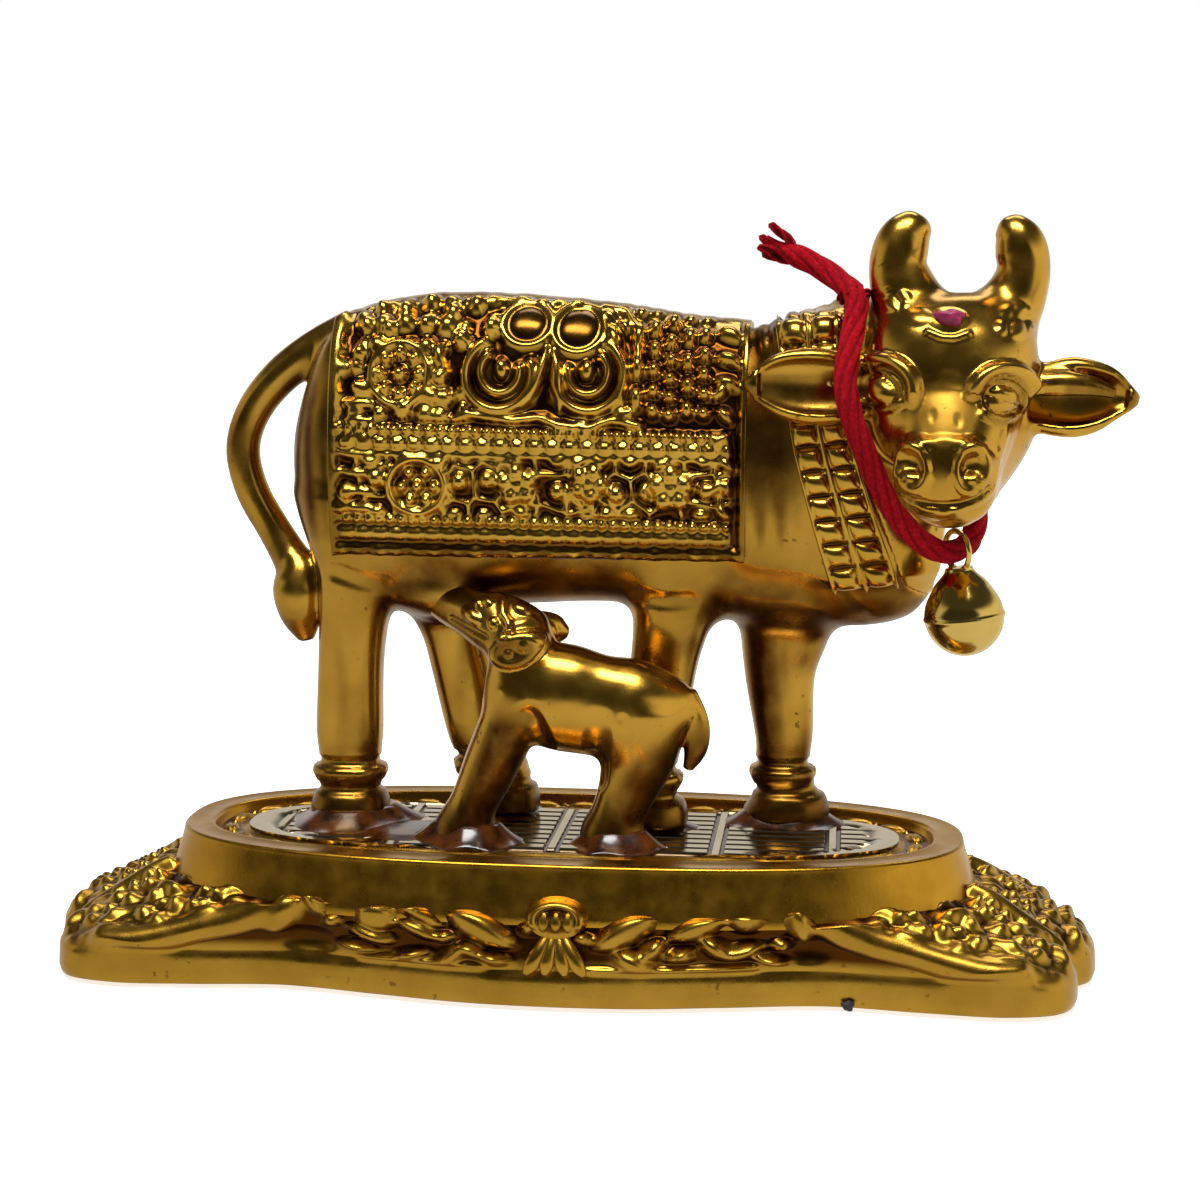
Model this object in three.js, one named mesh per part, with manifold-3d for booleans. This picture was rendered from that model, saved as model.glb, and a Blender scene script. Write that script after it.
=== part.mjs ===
// A gilded cast cow with its suckling calf, on an oval plinth, with a thread and a bell at its neck.
// Millimetres. X runs to the head end, Y away from the calf's side, Z up.
// The origin is the middle of the plinth's underside.
import * as THREE from 'three';
import Module from 'manifold-3d';
import { LoftGeometry } from 'three/addons/geometries/LoftGeometry.js';
import { mergeVertices } from 'three/addons/utils/BufferGeometryUtils.js';

const wasm = await Module();
wasm.setup();

// Plinth: a drum with upright walls on a lobed skirt
const drumLength = 79;
const drumDepth = 32.4;
const drumHeight = 13.2;
const drumRoundness = 2.57;
const wallFlare = 1.4;
const wallFootHeight = 8.3;
const rimWidth = 3;
const grooveWidth = 3.2;
const grooveDepth = 1;
const floorDrop = 0.4;
const edgeRound = 0.35;
const skirtFrontReach = 18.8;
const skirtCornerLength = 50;
const skirtCornerDepth = 16.4;
const skirtEndReach = 52.7;
const skirtBandHeight = 3.4;
const skirtTuckIn = 0.5;
const endLobeHalf = 4.6;
const cornerLobeFlat = 14;
const frontLobeHalf = 16.5;
const lobeRound = 1.8;

// Tiled floor inside the drum's groove
const tileRows = 9;
const tileRowPitch = 1.85;
const tileGap = 0.55;
const tileRise = 0.25;

// Ornament of the plinth
const buttonRadius = 2;
const buttonHeight = 1.5;
const leafRise = 0.7;
const tasselLength = 3.6;
const tasselWidth = 1.3;
const flowerRadius = 1.7;
const flowerRise = 0.8;
const flowerInset = 6;
const grooveFlowerRise = 0.45;

// Figure: the tables below count 54 steps from the soles to the back
const figureHeight = 54;
const figureOffset = 4;
const soleClearance = 0.3;

// Saddle cloth and collar
const clothThickness = 0.7;
const clothRear = -23.2;
const clothFront = 17.5;
const clothHem = 28;
const clothColumns = 26;
const stripColumns = 1;
const studRise = 0.55;
const earScoop = 1.2;
const collarBeads = 9;
const collarBeadWidth = 2.3;
const collarRise = 0.8;

// Thread and bell
const threadDiameter = 2.2;
const bellDiameter = 7.7;
const bellWall = 0.4;
const bellSlit = 0.9;
const loopWire = 0.6;
const threadClearance = 0.5;
const bellNeck = 0.7;
const bellTilt = 0.13;
const loopTurn = 0.57;

const step = figureHeight / 54;
const floorHeight = drumHeight - floorDrop;
const soleHeight = floorHeight + soleClearance;

// A closed geometry as a solid that can be joined and cut
function solid(geometry) {
  const bare = new THREE.BufferGeometry();
  bare.setAttribute('position', geometry.attributes.position);
  bare.setIndex(geometry.index);
  const merged = mergeVertices(bare, 1e-4);
  const mesh = new wasm.Mesh({
    numProp: 3,
    vertProperties: merged.attributes.position.array,
    triVerts: new Uint32Array(merged.index.array),
  });
  return new wasm.Manifold(mesh);
}

function geometryOf(body) {
  const mesh = body.getMesh();
  const geometry = new THREE.BufferGeometry();
  geometry.setAttribute('position', new THREE.BufferAttribute(new Float32Array(mesh.vertProperties), 3));
  geometry.setIndex(new THREE.BufferAttribute(new Uint32Array(mesh.triVerts), 1));
  geometry.computeVertexNormals();
  return geometry;
}

function join(bodies) {
  return bodies.reduce((whole, body) => whole.add(body));
}

// A closed ring of points: an oval whose corners fill out as the power grows
function ring(centre, side, up, halfSide, halfUp, power, sides) {
  const points = [];
  for (let i = 0; i < sides; i += 1) {
    const angle = (i / sides) * Math.PI * 2;
    const c = Math.cos(angle);
    const s = Math.sin(angle);
    const reach = (Math.abs(c) ** power + Math.abs(s) ** power) ** (-1 / power);
    const point = centre.clone();
    point.addScaledVector(side, halfSide * reach * c);
    point.addScaledVector(up, halfUp * reach * s);
    points.push(point);
  }
  return points;
}

// A limb: rings along a smooth path. A station is x, y, z, half width along the side, half width
// across it, and the ring's power.
function limb(stations, sideways, sides, stepsBetween) {
  const path = new THREE.CatmullRomCurve3(
    stations.map((s) => new THREE.Vector3(s[0], s[1], s[2])), false, 'catmullrom', 0.5);
  const girth = new THREE.CatmullRomCurve3(
    stations.map((s) => new THREE.Vector3(s[3], s[4], s[5] ?? 2)), false, 'catmullrom', 0.5);
  const rings = [];
  const count = (stations.length - 1) * stepsBetween;
  for (let i = 0; i <= count; i += 1) {
    const along = path.getTangent(i / count);
    const side = sideways.clone().addScaledVector(along, -sideways.dot(along)).normalize();
    const up = new THREE.Vector3().crossVectors(along, side);
    const half = girth.getPoint(i / count);
    rings.push(ring(path.getPoint(i / count), side, up, half.x, half.y, half.z, sides));
  }
  return solid(new LoftGeometry(rings, { capStart: true, capEnd: true }));
}

const alongX = new THREE.Vector3(1, 0, 0);
const alongY = new THREE.Vector3(0, 1, 0);
const alongZ = new THREE.Vector3(0, 0, 1);

// A small shape, stood at a point with its own Y axis turned to a direction
function placed(geometry, point, direction, turn = 0) {
  const shape = geometry.clone();
  shape.rotateY(turn);
  shape.applyQuaternion(new THREE.Quaternion().setFromUnitVectors(alongY, direction));
  shape.translate(point.x, point.y, point.z);
  return solid(shape);
}

// A four-sided stud, the smallest carved bead
function stud(width, length, rise) {
  const shape = new THREE.OctahedronGeometry(1);
  shape.rotateY(Math.PI / 4);
  shape.scale(width * 0.7, rise, length * 0.7);
  return shape;
}

// A low round boss with a rolled edge
function boss(radius, rise, sides) {
  const profile = [
    new THREE.Vector2(0, -rise),
    new THREE.Vector2(radius, -rise),
    new THREE.Vector2(radius, rise * 0.5),
    new THREE.Vector2(radius * 0.72, rise),
    new THREE.Vector2(radius * 0.5, rise * 0.45),
    new THREE.Vector2(0, rise * 0.95),
  ];
  return new THREE.LatheGeometry(profile, sides);
}

// A pointed leaf lying along its own Z axis
function leaf(width, length, rise) {
  const shape = new THREE.SphereGeometry(1, 4, 3);
  shape.rotateX(Math.PI / 2);
  shape.scale(width / 2, rise, length / 2);
  return shape;
}

// Where a line along a direction first meets a skin
const seeker = new THREE.Raycaster();
const beyond = 500;

function meet(skin, from, direction) {
  seeker.set(from, direction);
  const hit = seeker.intersectObject(skin)[0];
  return { point: hit.point, normal: hit.face.normal.clone() };
}

function skinOf(body) {
  return new THREE.Mesh(geometryOf(body), new THREE.MeshBasicMaterial({ side: THREE.DoubleSide }));
}

// Plinth outlines: the drum's oval and the skirt's lobes, sampled at the same angles
const plinthSides = 48;

function drumOutline(inset, z) {
  const centre = new THREE.Vector3(0, 0, z);
  const halves = [drumLength / 2 - inset, drumDepth / 2 - inset];
  return ring(centre, alongX, alongY, halves[0], halves[1], drumRoundness, plinthSides);
}

function skirtOutline(inset, z) {
  const quarter = [
    [skirtEndReach, 0],
    [skirtEndReach - lobeRound * 0.45, endLobeHalf],
    [skirtCornerLength - lobeRound * 0.33, (endLobeHalf + skirtCornerDepth) * 0.36],
    [skirtCornerLength, skirtCornerDepth - lobeRound * 3],
    [skirtCornerLength - lobeRound, skirtCornerDepth - lobeRound * 0.9],
    [skirtCornerLength - cornerLobeFlat * 0.46, skirtCornerDepth],
    [skirtCornerLength - cornerLobeFlat, skirtCornerDepth - lobeRound * 0.17],
    [skirtCornerLength - cornerLobeFlat * 1.68, skirtCornerDepth - lobeRound * 0.6],
    [frontLobeHalf, (skirtFrontReach + skirtCornerDepth) / 2 - lobeRound * 0.33],
    [frontLobeHalf / 2, skirtFrontReach - lobeRound * 0.22],
  ];
  const corners = [];
  for (const [signX, signY, backwards] of [[1, 1, false], [-1, 1, true], [-1, -1, false], [1, -1, true]]) {
    const first = backwards ? [[0, skirtFrontReach], ...quarter.slice(1).reverse()] : quarter;
    for (const [x, y] of first) corners.push(new THREE.Vector3(signX * x, signY * y, 0));
  }
  const curve = new THREE.CatmullRomCurve3(corners, true, 'centripetal');
  const points = [];
  for (let i = 0; i < plinthSides; i += 1) {
    const point = curve.getPoint(i / plinthSides);
    const inward = new THREE.Vector3(-point.x * 0.5, -point.y, 0).normalize();
    points.push(point.addScaledVector(inward, inset).setZ(z));
  }
  return points;
}

// A ring part of the way from the skirt's edge to the drum's foot, with every other point raised
function slope(share, z, odd, rise) {
  const outer = skirtOutline(skirtTuckIn, z);
  const inner = drumOutline(-wallFlare, z);
  return outer.map((point, i) => {
    const lift = i % 2 === odd ? rise : 0;
    const out = new THREE.Vector3(point.x, point.y, 0).normalize();
    return point.clone().lerp(inner[i], share).addScaledVector(out, lift * 0.5).setZ(z + lift);
  });
}

function makePlinth() {
  const grooveFloor = drumHeight - grooveDepth;
  const rings = [
    skirtOutline(skirtTuckIn * 0.8, 0),
    skirtOutline(0, edgeRound * 2),
    skirtOutline(skirtTuckIn, skirtBandHeight),
    slope(0.16, skirtBandHeight + 0.2, 0, 0),
    slope(0.34, skirtBandHeight + 1.4, 0, leafRise),
    slope(0.6, wallFootHeight - 1.6, 1, leafRise),
    slope(1, wallFootHeight, 0, 0),
    drumOutline(0, drumHeight - edgeRound),
    drumOutline(edgeRound, drumHeight),
    drumOutline(rimWidth, drumHeight),
    drumOutline(rimWidth + edgeRound, grooveFloor),
    drumOutline(rimWidth + grooveWidth / 2, grooveFloor).map((point, i) => (
      point.setZ(grooveFloor + (i % 2 ? grooveFlowerRise : 0.05)))),
    drumOutline(rimWidth + grooveWidth - edgeRound, grooveFloor),
    drumOutline(rimWidth + grooveWidth, floorHeight - tileRise),
  ];
  const base = solid(new LoftGeometry(rings, { capStart: true, capEnd: true }));
  const skin = skinOf(base);
  const down = new THREE.Vector3(0, 0, -1);
  const pieces = [base];

  // Long tiles in rows
  const floorLength = drumLength - 2 * (rimWidth + grooveWidth);
  const floorDepth = tileRows * tileRowPitch;
  for (let row = 0; row < tileRows; row += 1) {
    const y = (row - (tileRows - 1) / 2) * tileRowPitch;
    const reach = floorLength / 2 - floorDepth * 0.2 * (1 + (Math.abs(y) * 2 / floorDepth) ** 2 * 1.4);
    const tile = new THREE.BoxGeometry(reach * 2, tileRowPitch - tileGap, 2 * tileRise);
    tile.translate(0, y, floorHeight - tileRise);
    pieces.push(solid(tile));
  }

  // A button with two tassels in the middle of each long side
  for (const front of [-1, 1]) {
    const towards = new THREE.Vector3(0, -front, 0);
    const spot = (x, z) => meet(skin, new THREE.Vector3(x, front * beyond, z), towards);
    const middle = spot(0, wallFootHeight - 1.2);
    pieces.push(placed(boss(buttonRadius, buttonHeight, 8), middle.point, middle.normal));
    for (const hand of [-1, 1]) {
      const tassel = spot(hand * tasselLength * 0.42, wallFootHeight - buttonRadius - tasselLength * 0.45);
      const seat = tassel.point.addScaledVector(tassel.normal, -tasselWidth * 0.2);
      const shape = leaf(tasselWidth, tasselLength, tasselWidth * 0.7);
      pieces.push(placed(shape, seat, tassel.normal, hand * front * 0.45));
    }
  }

  // A flower on each lobe of the skirt
  const flowerX = skirtCornerLength - flowerInset;
  const flowerY = skirtCornerDepth - flowerInset * 0.75;
  const endX = skirtEndReach - flowerInset * 0.75;
  for (const [x, y] of [[1, 1], [-1, 1], [1, -1], [-1, -1], [1, 0], [-1, 0]]) {
    const from = new THREE.Vector3(x * (y ? flowerX : endX), y * flowerY, beyond);
    const spot = meet(skin, from, down);
    const seat = spot.point.addScaledVector(spot.normal, -flowerRise * 0.3);
    pieces.push(placed(stud(flowerRadius * 2, flowerRadius * 2, flowerRise * 1.3), seat, spot.normal, 0.4));
  }
  return join(pieces);
}

// Stations of the trunk: x, top, bottom and half width
const trunkTable = [
  [-29.0, 44.5, 33.0, 2.6],
  [-28.2, 47.4, 28.0, 5.2],
  [-25.6, 49.8, 24.6, 7.3],
  [-21.0, 51.6, 23.0, 8.2],
  [-14.0, 52.9, 22.0, 8.6],
  [-5.0, 52.8, 22.2, 8.7],
  [4.0, 52.0, 22.6, 8.6],
  [12.0, 50.8, 21.4, 8.6],
  [19.0, 50.0, 20.8, 8.5],
  [25.0, 47.5, 20.6, 8.0],
  [30.0, 42.5, 20.7, 6.8],
  [33.8, 38.0, 21.8, 5.0],
  [36.0, 34.5, 24.4, 2.9],
];
const trunkPower = 2.3;

function makeTrunk() {
  const stations = trunkTable.map(([x, top, bottom, half]) => (
    [x, 0, (top + bottom) / 2, half, (top - bottom) / 2, trunkPower]));
  return limb(grid(stations), alongY, 16, 1);
}

// Scales the first five numbers of each station from steps to millimetres
function grid(table) {
  return table.map(([x, y, z, a, b, power]) => (
    [x * step, y * step, z * step, a * step, b * step, power ?? 2]));
}

// A leg goes down from the trunk to a ringed ankle and a hoof
function leg(y, upper, ankleX, hoofX, ankleHalf, hoofHalf) {
  const shank = upper.map(([x, z, halfX, halfY]) => [x, y, z, halfX, halfY, 2.6]);
  const foot = [
    [ankleX, y, 6.3, ankleHalf - 0.5, 2.7, 2.3],
    [ankleX, y, 5.0, ankleHalf + 0.1, 3.3, 2.3],
    [ankleX, y, 3.6, ankleHalf - 0.4, 2.9, 2.3],
    [hoofX, y, 1.4, hoofHalf, 3.8, 2.3],
    [hoofX, y, -0.4, hoofHalf, 3.8, 2.3],
  ];
  return limb(grid(shank.concat(foot)), alongX, 8, 1);
}

function makeLegs() {
  const near = -2.3;
  const far = 2.3;
  return [
    leg(near, [[-21, 33, 6.6, 5.4], [-21.4, 27, 4.9, 4.9], [-22.4, 21.5, 3.6, 3.9], [-22.9, 16, 3.3, 3.1],
      [-23.1, 9, 3.4, 2.9]], -23.1, -23.1, 3.7, 4.05),
    leg(far, [[-17, 33, 6.6, 5.4], [-15.5, 26, 4.6, 4.6], [-13.3, 20, 3.4, 3.4], [-12.2, 15.5, 3.2, 3.0],
      [-10.4, 8.5, 3.3, 2.9]], -9.2, -8.3, 3.75, 4.2),
    leg(near, [[11.5, 33, 5.4, 5.4], [10.8, 26, 4.6, 5.0], [10, 21, 3.9, 4.0], [9.3, 17, 3.4, 3.1],
      [8.3, 10, 3.2, 2.9]], 7.5, 7.7, 3.65, 4.1),
    leg(far, [[23, 32, 6.4, 5.4], [22, 25, 5.6, 5.0], [21.2, 19.5, 4.6, 4.2], [20.8, 15, 3.6, 3.2],
      [21.3, 9, 3.0, 2.9]], 21.2, 21.6, 3.3, 4.4),
  ];
}

function makeNeck() {
  // Level slices: rear end, front end, depth and half depth
  const slices = [
    [20, 36.2, 27, 0, 6.2],
    [19, 37.0, 33, -0.4, 6.6],
    [18.6, 36.6, 39, -1.6, 6.3],
    [18.6, 36.0, 45, -2.8, 5.6],
    [18.8, 36.0, 49, -3.4, 4.9],
    [19.4, 35.0, 51.5, -3.6, 3.8],
    [20.8, 33.0, 52.8, -3.8, 2.2],
  ];
  return limb(grid(slices.map(([rear, front, z, y, half]) => (
    [(rear + front) / 2, y, z, (front - rear) / 2, half, 2.5]))), alongX, 12, 1);
}

// An ear is a pointed limb whose front is scooped out; its stations go outward from the head
function ear(stations) {
  const sides = 8;
  const rings = stations.map(([x, y, z, deep, tall], i) => {
    const outward = stations[0][0] < stations[stations.length - 1][0];
    const centre = new THREE.Vector3(x, y, z);
    const side = new THREE.Vector3(0, outward ? 1 : -1, 0);
    const oval = ring(centre, side, alongZ, deep, tall, 2, sides);
    const scoop = i > 0 && i < stations.length - 1 ? deep * earScoop : 0;
    return oval.map((point) => (
      point.y < y - deep * 0.9 ? point.clone().setY(point.y + scoop) : point));
  });
  return solid(new LoftGeometry(rings, { capStart: true, capEnd: true }));
}

// The head hangs forward of the neck, turned to the calf's side and a little tilted
function makeHead() {
  const skull = limb(grid([
    [37.2, -8.0, 54.3, 4.0, 1.8],
    [37.2, -8.2, 53.0, 6.6, 4.0],
    [37.0, -8.6, 49.5, 7.8, 6.1, 2.3],
    [36.8, -9.4, 45.5, 8.1, 6.6, 2.3],
    [36.4, -11.0, 42.3, 7.2, 6.2, 2.3],
    [36.7, -12.6, 39.8, 5.6, 5.3, 2.4],
    [36.6, -13.8, 37.6, 5.0, 5.0, 2.4],
    [36.4, -14.6, 35.4, 4.8, 4.6, 2.4],
    [36.2, -14.6, 33.4, 3.9, 3.7, 2.3],
    [36.0, -14.2, 32.1, 2.2, 2.2],
  ]), alongX, 12, 1);
  const leftHorn = limb(grid([
    [33.6, -7.6, 50.5, 4.4, 3.8],
    [32.0, -7.6, 54.0, 3.2, 3.2],
    [31.3, -7.6, 56.6, 2.5, 2.6],
    [31.9, -7.6, 59.0, 2.3, 2.2],
    [33.0, -7.6, 60.8, 1.2, 1.2],
  ]), alongX, 8, 1);
  const rightHorn = limb(grid([
    [40.8, -7.4, 50.0, 4.4, 3.8],
    [42.6, -7.4, 53.2, 3.0, 3.0],
    [43.4, -7.4, 56.0, 2.4, 2.5],
    [42.8, -7.4, 58.6, 2.2, 2.2],
    [42.0, -7.4, 60.5, 1.2, 1.2],
  ]), alongX, 8, 1);
  const leftEar = ear(grid([
    [30.4, -9.0, 45.0, 1.4, 2.4],
    [27.2, -9.6, 44.8, 1.6, 3.2],
    [24.0, -10.2, 44.9, 1.5, 3.6],
    [21.0, -10.6, 45.1, 1.3, 3.0],
    [18.8, -10.8, 45.1, 1.0, 1.7],
    [17.4, -10.8, 45.2, 0.4, 0.5],
  ]));
  const rightEar = ear(grid([
    [42.2, -9.0, 44.5, 1.4, 2.4],
    [45.6, -9.5, 44.0, 1.6, 3.4],
    [48.4, -9.6, 44.1, 1.5, 3.8],
    [51.2, -9.5, 44.2, 1.3, 3.0],
    [53.2, -9.3, 44.0, 1.0, 1.4],
    [54.3, -9.2, 43.9, 0.4, 0.5],
  ]));
  return join([skull, leftHorn, rightHorn, leftEar, rightEar]);
}

// Eyes, nostrils, mouth and brow mark are set on the skin of the head
function faceDetails(skin) {
  const inward = alongY;
  const pieces = [];
  for (const [x, z] of [[30.9, 45.2], [41.0, 44.2]]) {
    const spot = meet(skin, new THREE.Vector3(x * step, -beyond, z * step), inward);
    const outline = [[0, -1], [2.7, -1], [2.5, 0.7], [1.6, 0.1], [0, 1.2]];
    const eye = new THREE.LatheGeometry(outline.map(([r, h]) => new THREE.Vector2(r * step, h * step)), 8);
    pieces.push(placed(eye, spot.point, spot.normal));
  }
  for (const x of [33.9, 39.2]) {
    const spot = meet(skin, new THREE.Vector3(x * step, -beyond, 38.1 * step), inward);
    const nostril = new THREE.LatheGeometry([[0, -1], [1.7, -1], [1.4, 0.6], [0, -0.3]].map(([r, h]) => (
      new THREE.Vector2(r * step, h * step))), 6);
    pieces.push(placed(nostril, spot.point, spot.normal));
  }
  const mark = meet(skin, new THREE.Vector3(36.9 * step, -beyond, 51.4 * step), inward);
  const oval = leaf(2.4 * step, 1.6 * step, 0.6 * step);
  pieces.push(placed(oval, mark.point, mark.normal));
  return pieces;
}

function mouthCut(skin) {
  const spot = meet(skin, new THREE.Vector3(36.4 * step, -beyond, 35.2 * step), alongY);
  const slit = new THREE.BoxGeometry(6.6 * step, 1.2 * step, 0.45 * step);
  slit.translate(spot.point.x, spot.point.y, spot.point.z);
  return solid(slit);
}

function makeTail() {
  const rope = limb(grid([
    [-22.5, 0, 50.0, 1.8, 2.0],
    [-26.6, 0, 47.8, 1.8, 2.0],
    [-30.3, 0, 45.1, 1.8, 1.9],
    [-33.2, 0, 41.6, 1.7, 1.8],
    [-34.5, 0, 37.6, 1.7, 1.75],
    [-33.6, 0, 33.3, 1.7, 1.75],
    [-31.3, 0, 29.2, 1.7, 1.75],
    [-29.4, -0.4, 26.2, 1.9, 2.0],
    [-28.4, -1.0, 24.4, 2.2, 2.4],
  ]), alongY, 6, 1);
  const tuft = limb(grid([
    [-28.8, -0.8, 26.8, 1.2, 1.4],
    [-28.3, -1.2, 25.0, 2.3, 2.3],
    [-28.4, -1.4, 23.2, 2.8, 2.8],
    [-28.2, -1.6, 20.6, 2.2, 2.3],
    [-27.6, -1.8, 18.0, 0.8, 0.8],
  ]), alongX, 6, 1);
  return rope.add(tuft);
}

function makeUdder() {
  const bag = new THREE.SphereGeometry(1, 8, 4);
  bag.scale(5 * step, 5 * step, 3.2 * step);
  bag.translate(-13.5 * step, -1.5 * step, 23.8 * step);
  return solid(bag);
}

function makeCalf() {
  const y = -9;
  const trunk = limb(grid([
    [-7.6, y, 15.4, 1.6, 1.8],
    [-6.2, y, 15.2, 3.0, 3.9],
    [-3.0, y, 14.6, 3.8, 5.0],
    [1.0, y, 13.9, 4.0, 5.3],
    [5.0, y, 13.2, 4.0, 5.3],
    [9.0, y, 13.0, 3.8, 4.8],
    [11.6, y, 12.9, 2.8, 3.3],
    [12.7, y, 12.6, 1.2, 1.6],
  ]), alongY, 10, 1);
  const hindLeg = limb(grid([
    [7.6, y, 13.0, 4.0, 3.4],
    [7.4, y, 9.0, 3.9, 3.3],
    [6.4, y, 5.4, 3.0, 2.6],
    [5.4, y, 2.6, 2.7, 2.5],
    [5.0, y, 1.0, 3.3, 2.9],
    [5.0, y, 0, 3.6, 3.2],
  ]), alongX, 8, 1);
  const foreLeg = limb(grid([
    [-4.6, y, 15.0, 2.6, 3.2],
    [-6.0, y, 10.4, 2.9, 3.2],
    [-7.6, y, 6.6, 2.7, 2.8],
    [-9.1, y, 3.2, 2.4, 2.6],
    [-9.9, y, 1.0, 3.0, 3.0],
    [-10.0, y, 0, 3.5, 3.2],
  ]), alongX, 8, 1);
  const neck = limb(grid([
    [-3.2, y, 14.0, 3.4, 3.6],
    [-4.4, y + 0.2, 18.0, 3.1, 3.3],
    [-5.2, y + 0.6, 21.0, 2.8, 3.0],
  ]), alongX, 8, 1);
  const head = limb(grid([
    [-1.7, y + 0.4, 19.0, 1.4, 1.2],
    [-3.4, y + 0.4, 19.8, 3.0, 2.9],
    [-6.6, y + 1.2, 21.0, 3.3, 3.2],
    [-9.6, y + 2.6, 21.9, 2.5, 2.5],
    [-12.2, y + 4.4, 22.6, 2.0, 2.1],
    [-14.6, y + 6.2, 23.6, 1.6, 1.8],
  ]), alongY, 10, 1);
  const nearEar = limb(grid([
    [-5.6, y - 2.6, 21.6, 1.2, 0.9],
    [-4.2, y - 3.6, 20.0, 1.9, 0.9],
    [-2.6, y - 4.0, 18.4, 1.5, 0.7],
    [-1.6, y - 4.0, 17.6, 0.4, 0.3],
  ]), alongZ, 6, 1);
  const farEar = limb(grid([
    [-4.6, y + 3.0, 20.8, 1.4, 0.9],
    [-2.4, y + 4.2, 21.4, 1.9, 0.9],
    [-0.6, y + 4.8, 21.0, 1.7, 0.8],
    [0.5, y + 5.0, 20.8, 0.5, 0.4],
  ]), alongZ, 6, 1);
  const tail = limb(grid([
    [12.0, y, 15.0, 0.9, 1.0],
    [13.0, y, 12.0, 1.0, 1.3],
    [13.0, y, 9.4, 0.9, 1.2],
    [12.2, y, 7.2, 0.4, 0.5],
  ]), alongY, 6, 1);
  return [trunk, hindLeg, foreLeg, neck, head, nearEar, farEar, tail];
}

// Level rows of the cloth, on the calf's side and on the far side: share of the way from the hem to
// the ridge, every how many columns a point is raised, the first of them, and its rise as a share
const nearRows = [
  [0, 1, 0, 0.4],
  [0.034, 1, 0, 1.4],
  [0.068, 1, 0, 0],
  [0.11, 2, 0, 1.3],
  [0.154, 1, 0, 0],
  [0.29, 4, 2, 2.2],
  [0.427, 1, 0, 0],
  [0.47, 2, 0, 1.3],
  [0.513, 1, 0, 0],
  [0.615, 4, 2, 2],
  [0.718, 4, 0, 2.2],
  [0.82, 4, 2, 2],
  [0.915, 1, 0, 0],
  [0.99, 1, 0, 0],
];
const farRows = [
  [0, 1, 0, 0.4],
  [0.034, 1, 0, 1.4],
  [0.068, 1, 0, 0],
  [0.29, 4, 2, 1.6],
  [0.427, 1, 0, 0],
  [0.64, 4, 0, 1.6],
  [0.855, 1, 0, 0],
  [0.99, 1, 0, 0],
];

function clothRise(column, row, [, every, first, rise]) {
  if (column < stripColumns) return 1.1;
  if (column === stripColumns + 1) return row % 2;
  return column % every === first ? rise : 0;
}

// The saddle cloth lies over the trunk: level rows from the hem up to the ridge, on both flanks
function makeCloth() {
  const path = trunkTable.map(([x, top, bottom, half]) => (
    new THREE.Vector3(x, (top + bottom) / 2, (top - bottom) / 2)));
  const middle = new THREE.CatmullRomCurve3(path, false, 'catmullrom', 0.5);
  const widths = new THREE.CatmullRomCurve3(
    trunkTable.map(([x, , , half]) => new THREE.Vector3(x, half, 0)), false, 'catmullrom', 0.5);
  const slices = [];
  for (let i = 0; i <= 400; i += 1) slices.push([middle.getPoint(i / 400), widths.getPoint(i / 400).y]);
  const rings = [];
  for (let column = 0; column <= clothColumns; column += 1) {
    const u = ((clothFront - clothRear) * column) / clothColumns;
    const [centre, half] = slices.find(([point]) => point.x * step >= clothRear + u);
    const ridgeHeight = (centre.y + centre.z) * step;
    const edge = (table, side) => table.map((row, i) => {
      const z = clothHem + (ridgeHeight - clothHem) * row[0];
      const lift = clothThickness + studRise * clothRise(column, i, row);
      const share = Math.min(Math.abs(z - centre.y * step) / (centre.z * step + lift), 1);
      const y = (half * step + lift) * (1 - share ** trunkPower) ** (1 / trunkPower);
      return new THREE.Vector3(clothRear + u, side * y, z);
    });
    const near = edge(nearRows, -1);
    const far = edge(farRows, 1).reverse();
    const ridge = new THREE.Vector3(clothRear + u, 0, ridgeHeight + clothThickness);
    rings.push([...near, ridge, ...far].reverse());
  }
  return solid(new LoftGeometry(rings, { capStart: true, capEnd: true }));
}

// A row of box beads laid over a skin, thick at each bead and thin between
function beadRow(skin, side, places, beads, halfWidth, rise) {
  const steps = side < 0 ? [[0.1, 1], [0.72, 1], [0.92, 0.4]] : [[0.2, 1], [0.9, 0.4]];
  const inward = new THREE.Vector3(0, -side, 0);
  const guide = new THREE.CatmullRomCurve3(places.map(([x, z]) => new THREE.Vector3(x * step, 0, z * step)));
  const spots = [];
  for (let i = 0; i <= beads * 2; i += 1) {
    const at = guide.getPointAt(i / (beads * 2));
    spots.push(meet(skin, new THREE.Vector3(at.x, side * beyond, at.z), inward).point);
  }
  const path = new THREE.CatmullRomCurve3(spots);
  const rings = [];
  for (let i = 0; i < beads; i += 1) {
    for (const [share, full] of steps) {
      const t = (i + share) / beads;
      const along = path.getTangent(t);
      const out = new THREE.Vector3(0, side, 0).addScaledVector(along, -along.y * side).normalize();
      const up = new THREE.Vector3().crossVectors(along, out);
      rings.push(ring(path.getPoint(t), out, up, rise * full, halfWidth * full, 4, 6));
    }
  }
  return solid(new LoftGeometry(rings, { capStart: true, capEnd: true }));
}

function makeCollar(skin) {
  const rows = [
    [[21.4, 51.2], [22.4, 45], [23.0, 40], [24.8, 33], [27.2, 25.2]],
    [[25.0, 51.2], [25.4, 45], [26.2, 40], [28.4, 33], [31.2, 25.2]],
  ];
  const pieces = [];
  for (const side of [-1, 1]) {
    for (const row of rows) {
      pieces.push(beadRow(skin, side, row, collarBeads, collarBeadWidth / 2, collarRise));
    }
  }
  return pieces;
}

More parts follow.
